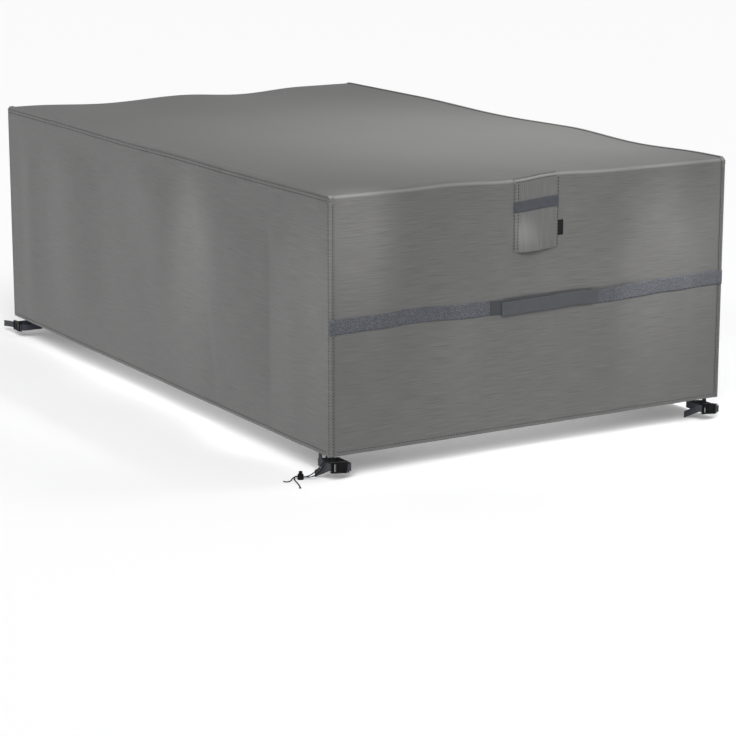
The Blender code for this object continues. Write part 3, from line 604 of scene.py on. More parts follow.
def smooth_step(t):
    t = min(max(t, 0.0), 1.0)
    return t * t * (3 - 2 * t)


def bell(t):
    """1 in the middle, falling smoothly to 0 at a distance of 1."""
    return 0.5 * (1 + math.cos(math.pi * t)) if abs(t) < 1 else 0.0


def top_rise(x, y):
    """How far the top lies above the plain box there."""
    inward = {
        "far": (x + LENGTH / 2, y),
        "front": (LENGTH / 2 - x, y),
        "near": (y + WIDTH / 2, x),
        "back": (WIDTH / 2 - y, x),
    }
    rise = 0.0
    for edge, at, half_width, reach, height in EDGE_WAVES:
        depth, along = inward[edge]
        rise += height * bell(max(depth, 0.0) / reach) * bell((along - at) / half_width)
    for swell_x, swell_y, reach_x, reach_y, height in SWELLS:
        rise += height * bell((x - swell_x) / reach_x) * bell((y - swell_y) / reach_y)
    return rise


def eased(rows, y):
    """A value at y, eased between the rows that give it. Columns: y, value"""
    for (y0, value0), (y1, value1) in zip(rows, rows[1:]):
        if y <= y1:
            return value0 + (value1 - value0) * smooth_step((y - y0) / (y1 - y0))
    return rows[-1][1]


def band_bulge(y, z):
    """How far the end cloth swells out just above the bands, where they are pulled tight."""
    above = z - max(eased(LEFT_BAND, y), eased(RIGHT_BAND, y)) - BAND_TALL / 2
    out = BULGE * smooth_step(above / BULGE_TURNS) * (1 - smooth_step((above - BULGE_TURNS) / BULGE_FADES))
    set_in = smooth_step((y - BULGE_FROM) / BULGE_SETS_IN)
    return out * set_in * (1 - smooth_step((y - BULGE_TO + BULGE_EASES) / BULGE_EASES))


def wall_push(wall, along, half_length, down):
    """How far a wall stands out at a place, with its folds."""
    fold = 0.0
    for row_wall, at, half_width, lean, starts_down, push in FOLDS:
        if row_wall == wall:
            grown = smooth_step((down - starts_down) / FOLD_SETS_IN)
            faded = 1 - FOLD_EASES_BY * smooth_step((down - FOLD_EASES_AT) / FOLD_EASES_IN)
            fold += push * grown * faded * bell((along - at - lean * down) / half_width)
    if wall == "front":
        fold += band_bulge(along, TOP_Z - down)
    return fold * smooth_step((half_length - abs(along) - CORNER_HELD) / CORNER_FADE)


def drape(point):
    """A point of the plain box, moved to where the cloth hangs."""
    x, y, z = point
    down = max(TOP_Z - z, 0.0)
    near_end = smooth_step((abs(x) - LENGTH / 2 + WALL_REACH) / WALL_REACH)
    near_side = smooth_step((abs(y) - WIDTH / 2 + WALL_REACH) / WALL_REACH)
    end, side = ("front" if x > 0 else "far"), ("back" if y > 0 else "near")
    out_x = near_end * wall_push(end, y, WIDTH / 2, down) if near_end else 0.0
    out_y = near_side * wall_push(side, x, LENGTH / 2, down) if near_side else 0.0
    lift = top_rise(x, y) * (1 - smooth_step(down / SAG_DEPTH))
    return Vector((x + math.copysign(out_x, x), y + math.copysign(out_y, y), z + lift))


def spread(start, end, step):
    """Even places from start to end, about one step apart."""
    count = max(1, round(abs(end - start) / step))
    return [start + (end - start) * n / count for n in range(count + 1)]


def arc(centre, radius_x, radius_y, start_deg, end_deg, steps):
    """Points round a centre, between two angles."""
    angles = [math.radians(start_deg + (end_deg - start_deg) * n / steps) for n in range(steps + 1)]
    return [(centre[0] + radius_x * math.cos(a), centre[1] + radius_y * math.sin(a)) for a in angles]


def sheet_piece(name, grid, across, down, thick, finish, turned=False):
    """A sheet of even thickness through a grid of points. across, down: where the grid's columns and rows
    lie when it is laid out flat. turned: its threads run the other way."""
    places = [(u, v) for v in down for u in across]
    if turned:
        places = [(v, u) for u, v in places]
    points = [point for row in grid for point in row]
    piece = add_piece(name, points, grid_faces(len(grid), len(grid[0])), places, finish)
    finish_with(piece, "SOLIDIFY", thickness=thick, offset=0.0)
    return piece


def cloth_finish(name, slubs_along, slubs_across):
    """Matte coated weave. Its thick threads show as fine lines, with a painted highlight where it turns over
    an edge.
    """
    finish, tree, shader = new_finish(name, (0.13, 0.13, 0.126), 0.48, sheen=0.05, specular=0.45)
    place = laid_flat(tree)
    stretched = node(tree, "Mapping", {"Vector": place, "Scale": (slubs_along, slubs_across, 1.0)})
    slubs = mottle(tree, stretched.outputs[0], 1.0, 3.0, 0.6)
    up = node(tree, "SeparateXYZ", {0: node(tree, "NewGeometry").outputs["Normal"]}).outputs["Z"]
    weaker_on_top = graded(tree, up, 0.2, 0.9, 1.0, 0.3)
    slubs = maths(tree, "MULTIPLY", maths(tree, "SUBTRACT", slubs, 0.5), weaker_on_top)
    slubs = maths(tree, "ADD", slubs, 0.5)
    shade = sum_of(tree, slubs, 0.62, mottle(tree, place, 700.0, 2.0), 0.28)
    shade = sum_of(tree, mottle(tree, place, 3.0, 4.0, 0.55), 0.10, shade, 1.0)
    # Painted highlight: the cloth is lighter where it faces about halfway up, as on the rolled edge and other
    # turns
    turned = maths(tree, "ABSOLUTE", maths(tree, "SUBTRACT", up, 0.55))
    shade = sum_of(tree, graded(tree, turned, 0.0, 0.30, 0.55, 0.0), 1.0, shade, 1.0)
    colour_between(tree, shader, shade, (0.050, 0.0494, 0.0484), (0.133, 0.1315, 0.1290), 0.22, 0.78)
    warp, weft = [thread_lines(tree, place, 260.0, across=across) for across in ("X", "Y")]
    weave = sum_of(tree, warp, 0.12, weft, 0.12)
    bump(tree, shader, sum_of(tree, slubs, 0.9, weave, 1.0), 0.0006, 0.55)
    return finish


cover_cloth = cloth_finish("coated_grey_weave", 11.0, 420.0)


def strip_profile():
    """The strip's middle line in x and z, from the hem inside the near end over the top to the other hem."""
    half = [(MIDDLE_OF_END - 2 * HEM_TURN, HEM_Z + HEM - n * 0.0063) for n in range(3)]
    half += arc((MIDDLE_OF_END - HEM_TURN, HEM_Z + CLOTH / 2 + HEM_TURN), HEM_TURN, HEM_TURN, 180, 360, 6)
    heights = spread(HEM_Z + 0.006, HEM_TOP, HEM_STEP)
    heights += spread(HEM_TOP, BULGE_LOW, CLOTH_STEP)[1:]
    heights += spread(BULGE_LOW, BULGE_HIGH, BULGE_STEP)[1:]
    heights += spread(BULGE_HIGH, BEND_CENTRE_Z, CLOTH_STEP)[1:]
    half += [(MIDDLE_OF_END, z) for z in heights]
    half += arc((BEND_CENTRE_X, BEND_CENTRE_Z), END_BEND, END_BEND, 15, 75, 4)
    top = [(x, CLOTH / 2) for x in spread(BEND_CENTRE_X, -BEND_CENTRE_X, CLOTH_STEP)]
    return half + top + [(-x, z) for x, z in half[::-1]]


profile = strip_profile()
run = lengths_along(profile)
across = spread(-STRIP_EDGE, STRIP_EDGE, CLOTH_STEP)
strip_grid = [[drape((x, y, z)) for y in across] for x, z in profile]
strip = sheet_piece("strip_cloth", strip_grid, across, run, CLOTH, cover_cloth)
stands_for(strip, "centre_panel")

# --- Cover cloth: the two long sides ---
# A rectangle of the same cloth at each long side. Its rim turns over the strip's edge along the top and down
# both corners, and is sewn down flat on it. Its lower edge is turned in to a hem.
LAP_ROWS, TURN_ROWS = 3, 5  # rows of points on the lap and round its turn
PUCKER, PUCKER_LENGTH, PUCKER_REACH = 0.00035, 0.031, 0.040  # how the seam's stitches draw the cloth in
PUCKER_AT, PUCKER_FADES = 0.016, 0.024
SIDE_STEP = 0.0085
LAP_TOP = TOP_Z + SEAM_GAP + CLOTH / 2 - SEAM_BEND
LAP_END = LENGTH / 2 + SEAM_GAP + CLOTH / 2 - SEAM_BEND
LAP_CORNER = END_BEND + CLOTH + SEAM_GAP - SEAM_BEND


def side_cloth(side):
    """The points of one side panel, and where they lie laid out flat. side is -1 or 1."""
    rings = LAP_ROWS + TURN_ROWS
    bent_deg = [90.0] * LAP_ROWS + [90.0 * (1 - n / TURN_ROWS) for n in range(TURN_ROWS + 1)]
    lap = [SEAM_LAP * (1 - n / LAP_ROWS) for n in range(LAP_ROWS)] + [0.0] * (TURN_ROWS + 1)
    columns = [0.0] * rings + spread(-LAP_END, LAP_END, SIDE_STEP) + [0.0] * rings
    pucker_end = LAP_TOP - PUCKER_REACH
    down = spread(LAP_TOP, pucker_end, HEM_STEP) + spread(pucker_end, HEM_TOP, CLOTH_STEP)[1:]
    down += spread(HEM_TOP, HEM_Z + CLOTH / 2 + HEM_TURN, HEM_STEP)[1:]
    rows = [(0.0, 0.0)] * rings + [(z, 0.0) for z in down]
    for angle in (30, 60, 90, 120, 150, 180):
        turned = math.radians(angle)
        rows.append((down[-1] - HEM_TURN * math.sin(turned), HEM_TURN * (1 - math.cos(turned))))
    rows += [(down[-1] + rise, 2 * HEM_TURN) for rise in (0.006, 0.012, 0.019)]
    last = len(columns) - 1

    def place(i, j):
        from_end, toward = min(i, last - i), (-1 if i < last / 2 else 1)
        ring = min(from_end, j, rings)
        height, inward = rows[j]
        if from_end <= rings and j <= rings:
            if from_end == j:
                angle = 45.0
            elif j < from_end:
                angle = 45.0 * (1 - (from_end - j) / (rings - j))
            else:
                angle = 45.0 + 45.0 * (j - from_end) / (rings - from_end)
            out = Vector((toward * math.sin(math.radians(angle)), 0, math.cos(math.radians(angle))))
            foot = Vector((toward * (LAP_END - LAP_CORNER), 0, LAP_TOP - LAP_CORNER)) + out * LAP_CORNER
        elif j < rings:
            out, foot = Vector((0, 0, 1)), Vector((columns[i], 0, LAP_TOP))
        elif from_end < rings:
            out, foot = Vector((toward, 0, 0)), Vector((toward * LAP_END, 0, height))
        else:
            out, foot = Vector((0, 0, 1)), Vector((columns[i], 0, height))
        turned = math.radians(bent_deg[ring])
        y = WIDTH / 2 - CLOTH / 2 - SEAM_BEND * (1 - math.cos(turned)) - lap[ring] - inward * math.cos(turned)
        point = drape(foot + out * ((SEAM_BEND - inward) * math.sin(turned)) + Vector((0, side * y, 0)))
        from_top, from_corner = LAP_TOP - point.z, LAP_END - abs(point.x)
        from_seam = min(from_top, from_corner)
        if ring == rings and 0 < from_seam < PUCKER_REACH and j > rings and not inward:
            along = point.x if from_top < from_corner else point.z
            uneven = 2.4 * noise.noise(Vector((along * 9, side, 0)))
            wave = math.sin(2 * math.pi * along / PUCKER_LENGTH + uneven)
            point.y += side * PUCKER * bell((from_seam - PUCKER_AT) / PUCKER_FADES) * wave
        return point

    rim = [SEAM_LAP / LAP_ROWS] * LAP_ROWS + [SEAM_BEND * math.pi / 2 / TURN_ROWS] * TURN_ROWS
    between = [b - a for a, b in zip(columns[rings:-rings], columns[rings + 1 : -rings])]
    hung = [math.dist(a, b) for a, b in zip(rows[rings:], rows[rings + 1 :])]
    flat_x, flat_z = [0.0], [0.0]
    for step in rim + between + rim[::-1]:
        flat_x.append(flat_x[-1] + step)
    for step in rim + hung:
        flat_z.append(flat_z[-1] - step)
    return [[place(i, j) for i in range(last + 1)] for j in range(len(rows))], flat_x, flat_z


for side_name, side in (("near", -1), ("far", 1)):
    grid, flat_x, flat_z = side_cloth(side)
    panel = sheet_piece(f"side_cloth_{side_name}", grid, flat_x, flat_z, CLOTH, cover_cloth)
    stands_for(panel, f"side_panel_{side_name}")

# --- Stitches ---
# Lockstitch in dark grey thread: two rows along every seam of the side panels, and one along the hem. Each
# stitch is a short rounded thread that dips into the cloth at both ends.
STITCH_PITCH, STITCH_LONG, THREAD = 0.0088, 0.0050, 0.00085
LOWER_ROW, UPPER_ROW = -0.0160, -0.0060  # heights of the two rows under the long top edges
SIDE_ROW_X, END_ROW_Y = 1.0612, 0.6500
ROW_TURN = 0.010
ROWS_END = HEM_Z + 0.004
HEM_ROW = HEM_Z + 0.0105
HEM_ROW_END_Y, HEM_ROW_END_X = 0.641, 1.05
STITCH_SIDES = 5
# The shape of a stitch. Columns: share of its length, height and thickness as shares of its radius
STITCH_SHAPE = ((0.0, -0.6, 0.45), (0.16, 0.35, 1.0), (0.84, 0.35, 1.0), (1.0, -0.6, 0.45))

thread, tree, shader = new_finish("dark_thread", (0.022, 0.022, 0.022), 0.8, specular=0.3)
twist = mottle(tree, node(tree, "TexCoord").outputs["Object"], 420.0, 2.0)
colour_between(tree, shader, twist, (0.005, 0.005, 0.005), (0.018, 0.018, 0.018))
bump(tree, shader, twist, 0.0002)


def point_along(row, lengths, wanted):
    """Where a row of stitches is after a given length, and the cloth's normal there."""
    k, share = stretch_at(lengths, wanted)
    return row[k][0].lerp(row[k + 1][0], share), row[k][1].lerp(row[k + 1][1], share).normalized()


def sew(name, rows, pitch=STITCH_PITCH, long=STITCH_LONG, radius=THREAD):
    """Rows of stitches in one piece. A row is a list of points on the cloth, each with the cloth's normal."""
    points, faces, flat = [], [], []
    for row in rows:
        lengths = lengths_along([point for point, normal in row])
        count = int(lengths[-1] / pitch)
        for n in range(count):
            starts = n * pitch + (lengths[-1] - count * pitch) / 2 + (pitch - long) / 2
            first = len(points)
            head, tail = point_along(row, lengths, starts)[0], point_along(row, lengths, starts + long)[0]
            heading = (tail - head).normalized()
            for share, height, thick in STITCH_SHAPE:
                middle, normal = point_along(row, lengths, starts + long * share)
                beside = heading.cross(normal).normalized()
                for k in range(STITCH_SIDES):
                    turn = 2 * math.pi * k / STITCH_SIDES
                    out = normal * math.cos(turn) + beside * math.sin(turn)
                    points.append(middle + normal * (height * radius) + out * (radius * thick))
                    flat.append((share, k / STITCH_SIDES))
            tail_ring = first + (len(STITCH_SHAPE) - 1) * STITCH_SIDES
            for ring in range(first, tail_ring, STITCH_SIDES):
                for k in range(STITCH_SIDES):
                    here, there = ring + k, ring + (k + 1) % STITCH_SIDES
                    faces.append((here, there, there + STITCH_SIDES, here + STITCH_SIDES))
            faces.append(tuple(range(first, first + STITCH_SIDES))[::-1])
            faces.append(tuple(range(tail_ring, tail_ring + STITCH_SIDES)))
    piece = add_piece(name, points, faces, flat, thread)
    close_up(piece)
    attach(piece, "cover")


def row_between(start, end, normal, step=0.006):
    """A straight row of stitches on the plain box, moved with the cloth."""
    start, end = Vector(start), Vector(end)
    count = max(2, round((end - start).length / step))
    return [(drape(start.lerp(end, n / count)), Vector(normal)) for n in range(count + 1)]


def seam_rows(side):
    """The stitches of one side panel, along its top seam, round its corners and down its corner seams."""
    face_y = side * WIDTH / 2
    end_x = LENGTH / 2 + SEAM_GAP + CLOTH
    bend = SEAM_BEND + CLOTH / 2
    off_side = Vector((0, side, 0))
    turn_x, turn_z = SIDE_ROW_X - ROW_TURN, LOWER_ROW - ROW_TURN
    rows = []
    for toward in (-1, 1):
        round_the_edge = []
        middle = Vector((toward * (end_x - bend), side * (WIDTH / 2 - bend), 0))
        for n in range(9):
            share = n / 8
            angle = share * math.pi / 2
            out = Vector((toward * math.sin(angle), side * math.cos(angle), 0))
            height = UPPER_ROW - ROW_TURN * 1.6 * share * share
            round_the_edge.append((drape(middle + out * bend + Vector((0, 0, height))), out))
        end_row = (toward * end_x, side * END_ROW_Y)
        rows.append(row_between((*end_row, UPPER_ROW - ROW_TURN * 1.8), (*end_row, ROWS_END), (toward, 0, 0)))
        upper = row_between((0, face_y, UPPER_ROW), (toward * (end_x - bend), face_y, UPPER_ROW), off_side)
        rows.append(upper + round_the_edge[1:])
        side_row = (toward * SIDE_ROW_X, face_y)
        lower = row_between((*side_row, ROWS_END), (*side_row, turn_z), off_side)
        corner = arc((turn_x, turn_z), ROW_TURN, ROW_TURN, 0, 90, 6)[1:]
        lower += [(drape((toward * x, face_y, z)), off_side) for x, z in corner]
        along = row_between((toward * turn_x, face_y, LOWER_ROW), (0, face_y, LOWER_ROW), off_side)
        rows.append(lower + along[1:])
    return rows


sew("seam_stitches_near", seam_rows(-1))
sew("seam_stitches_far", seam_rows(1))
hem_rows = []
for toward in (-1, 1):
    x, y = toward * LENGTH / 2, toward * WIDTH / 2
    hem_rows.append(row_between((x, -HEM_ROW_END_Y, HEM_ROW), (x, HEM_ROW_END_Y, HEM_ROW), (toward, 0, 0)))
    hem_rows.append(row_between((-HEM_ROW_END_X, y, HEM_ROW), (HEM_ROW_END_X, y, HEM_ROW), (0, toward, 0)))
sew("hem_stitches", hem_rows)

# --- Vent hood ---
# A patch of the same cloth, turned so that its lines run upright. It is sewn to the near end at its top and
# sides, with a flat margin on the left, and stands open at the bottom to let air under the cover.
VENT_LEFT, VENT_RIGHT = -0.0745, 0.0725
VENT_BOTTOM = -0.2065
VENT_STANDS = 0.011
VENT_MARGIN = 0.0145
TAPE_TOP, TAPE_BOTTOM = -0.063, -0.093
HOOD_RIB, HOOD_RIB_PITCH = 0.00016, 0.0068
HOOD_FACE = GAP + CLOTH
HOOD_ROLL = END_BEND + CLOTH / 2
HOOD_TURN = math.radians(62)  # how far round the rolled edge it starts
HOOD_DOWN = HOOD_TURN * HOOD_ROLL + BEND_CENTRE_Z - VENT_BOTTOM
# Its edge turned under at the mouth. Columns: length down from its top edge, distance from the end cloth
HOOD_MOUTH = (
    (HOOD_DOWN, GAP),
    (HOOD_DOWN - 0.0006, GAP - 0.0008),
    (HOOD_DOWN - 0.004, GAP - 0.0009),
    (HOOD_DOWN - 0.009, GAP - 0.0009),
)
# Its rows of stitches: two down its left margin, two along its top and one down its right edge. Columns: y
# and length down from its top edge where the row starts, and where it ends
HOOD_ROWS = (
    (-0.0728, 0.014, -0.0728, HOOD_DOWN - 0.002),
    (-0.0611, 0.014, -0.0611, HOOD_DOWN - 0.002),
    (-0.0735, 0.003, 0.0715, 0.003),
    (-0.0735, 0.012, 0.0715, 0.012),
    (0.0710, 0.014, 0.0710, HOOD_DOWN - 0.002),
)


def hood_stands(y, z):
    """How far the hood stands off the end: steep at its left seam and most at its mouth."""
    left, right = VENT_LEFT + VENT_MARGIN, VENT_RIGHT - 0.005
    across = min(max((y - left) / (right - left), 0.0), 1.0)
    down = smooth_step((TAPE_BOTTOM + 0.01 - z) / (TAPE_BOTTOM + 0.01 - VENT_BOTTOM))
    return VENT_STANDS * math.sin(math.pi * across**0.58) * down


def hood_place(y, down, lies):
    """A point of the hood, a length down from its top edge, at a distance from the end cloth."""
    bent = HOOD_TURN * HOOD_ROLL
    if down < bent:
        angle = HOOD_TURN - down / HOOD_ROLL
        out = Vector((math.cos(angle), 0, math.sin(angle)))
        middle = Vector((BEND_CENTRE_X, 0, BEND_CENTRE_Z)) + out * (HOOD_ROLL + lies)
    else:
        out = Vector((1, 0, 0))
        middle = Vector((LENGTH / 2 + lies, 0, BEND_CENTRE_Z - (down - bent)))
    return middle + out * hood_stands(y, middle.z) + Vector((0, y, 0))


def hood_row(y0, down0, y1, down1):
    """One row of the hood's stitches."""
    row = []
    count = max(2, round(math.hypot(y1 - y0, down1 - down0) / 0.003))
    for n in range(count):
        y, down = y0 + (y1 - y0) * n / count, down0 + (down1 - down0) * n / count
        here, there = hood_place(y, down, 0.0), hood_place(y, down, 0.001)
        row.append((drape(hood_place(y, down, HOOD_FACE)), (there - here).normalized()))
    return row


hood_y = spread(VENT_LEFT, VENT_RIGHT, 0.0017)
hood_down = [(down, GAP + CLOTH / 2) for down in spread(0.0, HOOD_DOWN - 0.001, 0.0045)]
hood_down += HOOD_MOUTH
hood_grid = []
for down, lies in hood_down:
    row = []
    for y in hood_y:
        ribbed = 0.0 if y < VENT_LEFT + VENT_MARGIN else HOOD_RIB
        uneven = 1.2 * noise.noise(Vector((y * 60, 0, 3)))
        rib = ribbed * (math.cos(2 * math.pi * y / HOOD_RIB_PITCH + uneven) + 0.4)
        row.append(drape(hood_place(y, down, lies) + Vector((rib, 0, 0))))
    hood_grid.append(row)
upright_cloth = cloth_finish("upright_grey_weave", 7.0, 300.0)
flat_down = [down for down, lies in hood_down]
hood = sheet_piece("hood_cloth", hood_grid, hood_y, flat_down, CLOTH * 0.8, upright_cloth, turned=True)
stands_for(hood, "vent_hood")
hood_rows = [hood_row(*row) for row in HOOD_ROWS]
sew("hood_stitches", hood_rows, pitch=0.0092, long=0.0052, radius=0.00105)

# --- Tape across the hood ---
# A woven tape, 30 mm wide and dark blue-grey, sewn across the hood. It follows the hood's bulge.
TAPE_THICK = 0.001
TAPE_MIDDLE = LENGTH / 2 + GAP + CLOTH + GAP + TAPE_THICK / 2


def crossed_threads(tree, place, warp, weft, distortion, warp_share):
    """Warp and weft in one factor. warp, weft: how close their threads lie."""
    along = thread_lines(tree, place, warp, distortion)
    crossing = thread_lines(tree, place, weft, distortion, "Y")
    return sum_of(tree, along, warp_share, crossing, 1 - warp_share)


def patch_on_end(name, heights, across, middle_x, thick, finish):
    """A flat patch on the near end. middle_x: where its middle lies in x, at y and z."""
    grid = [[drape((middle_x(y, z), y, z)) for y in across] for z in heights]
    return sheet_piece(name, grid, across, heights, thick, finish)


tape_cloth, tree, shader = new_finish("dark_tape_weave", (0.045, 0.048, 0.056), 0.75, 0.05, 0.25)
place = laid_flat(tree)
weave = crossed_threads(tree, place, 240.0, 300.0, 0.5, 0.5)
shade = sum_of(tree, weave, 0.35, mottle(tree, place, 60.0, 4.0), 0.65)
colour_between(tree, shader, shade, (0.028, 0.030, 0.036), (0.062, 0.066, 0.076))
bump(tree, shader, weave, 0.0003, 0.6)

heights = spread(TAPE_TOP, TAPE_BOTTOM, 0.0025)
across = spread(VENT_LEFT - 0.0006, VENT_RIGHT + 0.0006, 0.003)
tape = patch_on_end(
    "hood_tape", heights, across, lambda y, z: TAPE_MIDDLE + hood_stands(y, z), TAPE_THICK, tape_cloth
)
stands_for(tape, "vent_tape")

# --- Side label ---
# A small black woven tag, sewn flat on the end beside the hood by its two short ends. It is left blank.
LABEL_LEFT, LABEL_RIGHT = 0.0732, 0.0908
LABEL_TOP, LABEL_BOTTOM = -0.132, -0.1735
LABEL_THICK, LABEL_BOWS = 0.001, 0.0005
LABEL_FACE = LENGTH / 2 + GAP + LABEL_THICK

tag_cloth, tree, shader = new_finish("black_satin_weave", (0.008, 0.008, 0.009), 0.6, specular=0.12)
satin = thread_lines(tree, laid_flat(tree), 420.0, 0.6, "Y")
colour_between(tree, shader, satin, (0.004, 0.004, 0.005), (0.012, 0.012, 0.013))
bump(tree, shader, satin, 0.0002, 0.6)


def label_middle(y, z):
    """Where the label's middle lies in x. It bows out a little between its sewn ends."""
    down = (LABEL_TOP - z) / (LABEL_TOP - LABEL_BOTTOM)
    return LABEL_FACE - LABEL_THICK / 2 + LABEL_BOWS * math.sin(math.pi * down)


heights, across = spread(LABEL_TOP, LABEL_BOTTOM, 0.0015), spread(LABEL_LEFT, LABEL_RIGHT, 0.0015)
label = patch_on_end("side_tag", heights, across, label_middle, LABEL_THICK * 0.8, tag_cloth)
stands_for(label, "side_label")
tag_rows = []
for z in (LABEL_TOP - 0.002, LABEL_BOTTOM + 0.002):
    start, end = (LABEL_FACE, LABEL_LEFT + 0.001, z), (LABEL_FACE, LABEL_RIGHT - 0.001, z)
    tag_rows.append(row_between(start, end, (1, 0, 0), 0.002))
sew("tag_stitches", tag_rows, pitch=0.0034, long=0.0023, radius=0.00040)

# --- Bands ---
# Two 40 mm hook-and-loop bands, sewn in at the corner seams and pressed together over the middle of the end.
# The left one is fuzzy loop tape. The right one is smooth where its back shows and fuzzy past that.
BAND_THICK = 0.0015
OVERLAP_FROM, OVERLAP_TO = -0.112, 0.185
SMOOTH_TO = 0.212
HOOK_FROM, HOOK_TALL, HOOK_THICK = -0.150, 0.0395, 0.001
ON_CLOTH = GAP
ON_SEAM = SEAM_GAP + CLOTH + GAP
ON_BAND = ON_CLOTH + BAND_THICK + GAP
ON_HOOK = ON_BAND + HOOK_THICK + GAP
FUZZ = 0.00035
BAND_STEP = 0.0032
SEAM_EDGE_OUT, SEAM_EDGE_IN = STRIP_EDGE - SEAM_LAP - 0.002, STRIP_EDGE - SEAM_LAP - 0.006
# How far each strip's back lies from the end cloth. Columns: y, distance
LEFT_LIES = ((-0.66, ON_SEAM), (-SEAM_EDGE_OUT, ON_SEAM), (-SEAM_EDGE_IN, ON_CLOTH), (0.19, ON_CLOTH))
HOOK_LIES = ((-0.2, ON_BAND), (0.2, ON_BAND))
RIGHT_LIES = (
    (-0.12, ON_HOOK), (OVERLAP_TO + 0.004, ON_HOOK), (OVERLAP_TO + 0.012, ON_CLOTH),
    (SEAM_EDGE_IN, ON_CLOTH), (SEAM_EDGE_OUT, ON_SEAM), (0.66, ON_SEAM),
)

loop_pile, tree, shader = new_finish("loop_pile", (0.06, 0.063, 0.072), 0.95, sheen=0.15, specular=0.15)
place = laid_flat(tree)
tufts = node(tree, "TexVoronoi", {"Vector": place, "Scale": 420.0}).outputs["Distance"]
pile = sum_of(tree, mottle(tree, place, 300.0, 4.0, 0.75), 0.75, tufts, 0.45)
colour_between(tree, shader, pile, (0.012, 0.013, 0.016), (0.094, 0.097, 0.110), 0.36, 0.72)
bump(tree, shader, pile, 0.0012, 0.9)

band_back, tree, shader = new_finish("smooth_band_back", (0.10, 0.103, 0.112), 0.72, sheen=0.1, specular=0.35)
place = laid_flat(tree)
ribs = thread_lines(tree, place, 220.0, 0.8)
shade = sum_of(tree, ribs, 0.3, mottle(tree, place, 35.0, 4.0), 0.7)
colour_between(tree, shader, shade, (0.034, 0.036, 0.042), (0.058, 0.061, 0.069))
bump(tree, shader, ribs, 0.0002, 0.5)

hook_tape, tree, shader = new_finish("hook_tape", (0.05, 0.052, 0.058), 0.55)
hooks = node(tree, "TexVoronoi", {"Vector": laid_flat(tree), "Scale": 650.0, "Randomness": 0.25})
colour_between(tree, shader, hooks.outputs["Distance"], (0.034, 0.036, 0.041), (0.014, 0.015, 0.018))
bump(tree, shader, hooks.outputs["Distance"], 0.0008, 0.8)


def band_plan(from_y, to_y, stations, thick):
    """The plan of a band's middle, as x and y. At a corner it goes round the seam's turn."""
    plan = [(LENGTH / 2 + eased(stations, y) + thick / 2, y) for y in spread(from_y, to_y, BAND_STEP)]
    turn = SEAM_BEND + CLOTH / 2 + GAP + thick / 2
    round_the_seam = arc((LAP_END, STRIP_EDGE), turn, turn, 15, 90, 5)
    round_the_seam.append((LAP_END - 0.002, STRIP_EDGE + turn))
    if from_y <= -STRIP_EDGE:
        plan = [(x, -y) for x, y in round_the_seam[::-1]] + plan
    if to_y >= STRIP_EDGE:
        plan += round_the_seam
    return plan


def band_piece(name, cad_node, line, tall, reach, stations, thick, fuzzy_from, finishes):
    """A flat strip across the end, wavy at its edges. Past fuzzy_from it is fuzzy, in its second finish."""
    plan = band_plan(*reach, stations, thick)
    run = lengths_along(plan)
    halves = spread(tall / 2, -tall / 2, BAND_STEP)
    grid = []
    for half in halves:
        row = []
        for (x, y), along in zip(plan, run):
            z = eased(line, y) + half * (1 + 0.012 * noise.noise(Vector((along * 14, half * 30, 5))))
            fuzz = FUZZ * noise.noise(Vector((along * 900, half * 900, 1))) if y > fuzzy_from else 0.0
            row.append(drape((x + fuzz, y, z)))
        grid.append(row)
    piece = sheet_piece(name, grid, run, halves, thick * 0.9, finishes[0])
    if len(finishes) > 1:
        piece.data.materials.append(finishes[1])
        for face in piece.data.polygons:
            face.material_index = 1 if face.center.y > fuzzy_from else 0
    stands_for(piece, cad_node)
    return piece


left_band = band_piece(
    "fuzzy_band_left", "band_left",
    LEFT_BAND, BAND_TALL, (-STRIP_EDGE, OVERLAP_TO), LEFT_LIES, BAND_THICK, -1.0, [loop_pile],
)
hook_band = band_piece(
    "hook_patch_tape", "hook_patch",
    LEFT_BAND, HOOK_TALL, (HOOK_FROM, OVERLAP_TO - 0.006), HOOK_LIES, HOOK_THICK, 9.0, [hook_tape],
)
band_piece(
    "band_right_tape", "band_right",
    RIGHT_BAND, BAND_TALL, (OVERLAP_FROM, STRIP_EDGE), RIGHT_LIES, BAND_THICK, SMOOTH_TO,
    [band_back, loop_pile],
)

# --- Corner straps ---
# A loop of 20 mm webbing at each corner, dark blue-grey, with upright ribs in its weave. It hangs from a tab
# inside the hem and is closed by a side-release buckle. Its free end is cut hot.
STRAP_SPACE = 0.060
CORNER_INSET = 0.036
WEBBING_WIDE, WEBBING_THICK = 0.020, 0.0015
STRAP_Z = -0.7395
TAB_WIDE, TAB_THICK = 0.018, 0.0014
TAB_TOP, TAB_BOTTOM = -0.692, -0.746
TAB_FROM_CORNER = CORNER_INSET - 2 * CLOTH - GAP - TAB_THICK / 2
TRIM_STEP = 0.003
BAR_X, MALE_BAR_Y, FEMALE_BAR_Y = 0.0372, -0.0290, 0.0205
LOOP_RADIUS = 0.00265
WIDE_TURN, TIGHT_TURN = 0.006, 0.0035
# The free end where it is wrapped. Columns: x, how far it stands away from the run under it, z
WRAPPED_TAIL = (
    (0.018, 0.0, -0.0070), (0.005, 0.003, -0.0140), (-0.008, 0.0085, -0.0215), (-0.0195, 0.015, -0.0290),
)
# The free end where it is straight. Columns: how far beyond the bar, z
STRAIGHT_TAIL = ((0.012, -0.001), (0.035, -0.003), (0.062, -0.0065), (0.090, -0.0105))
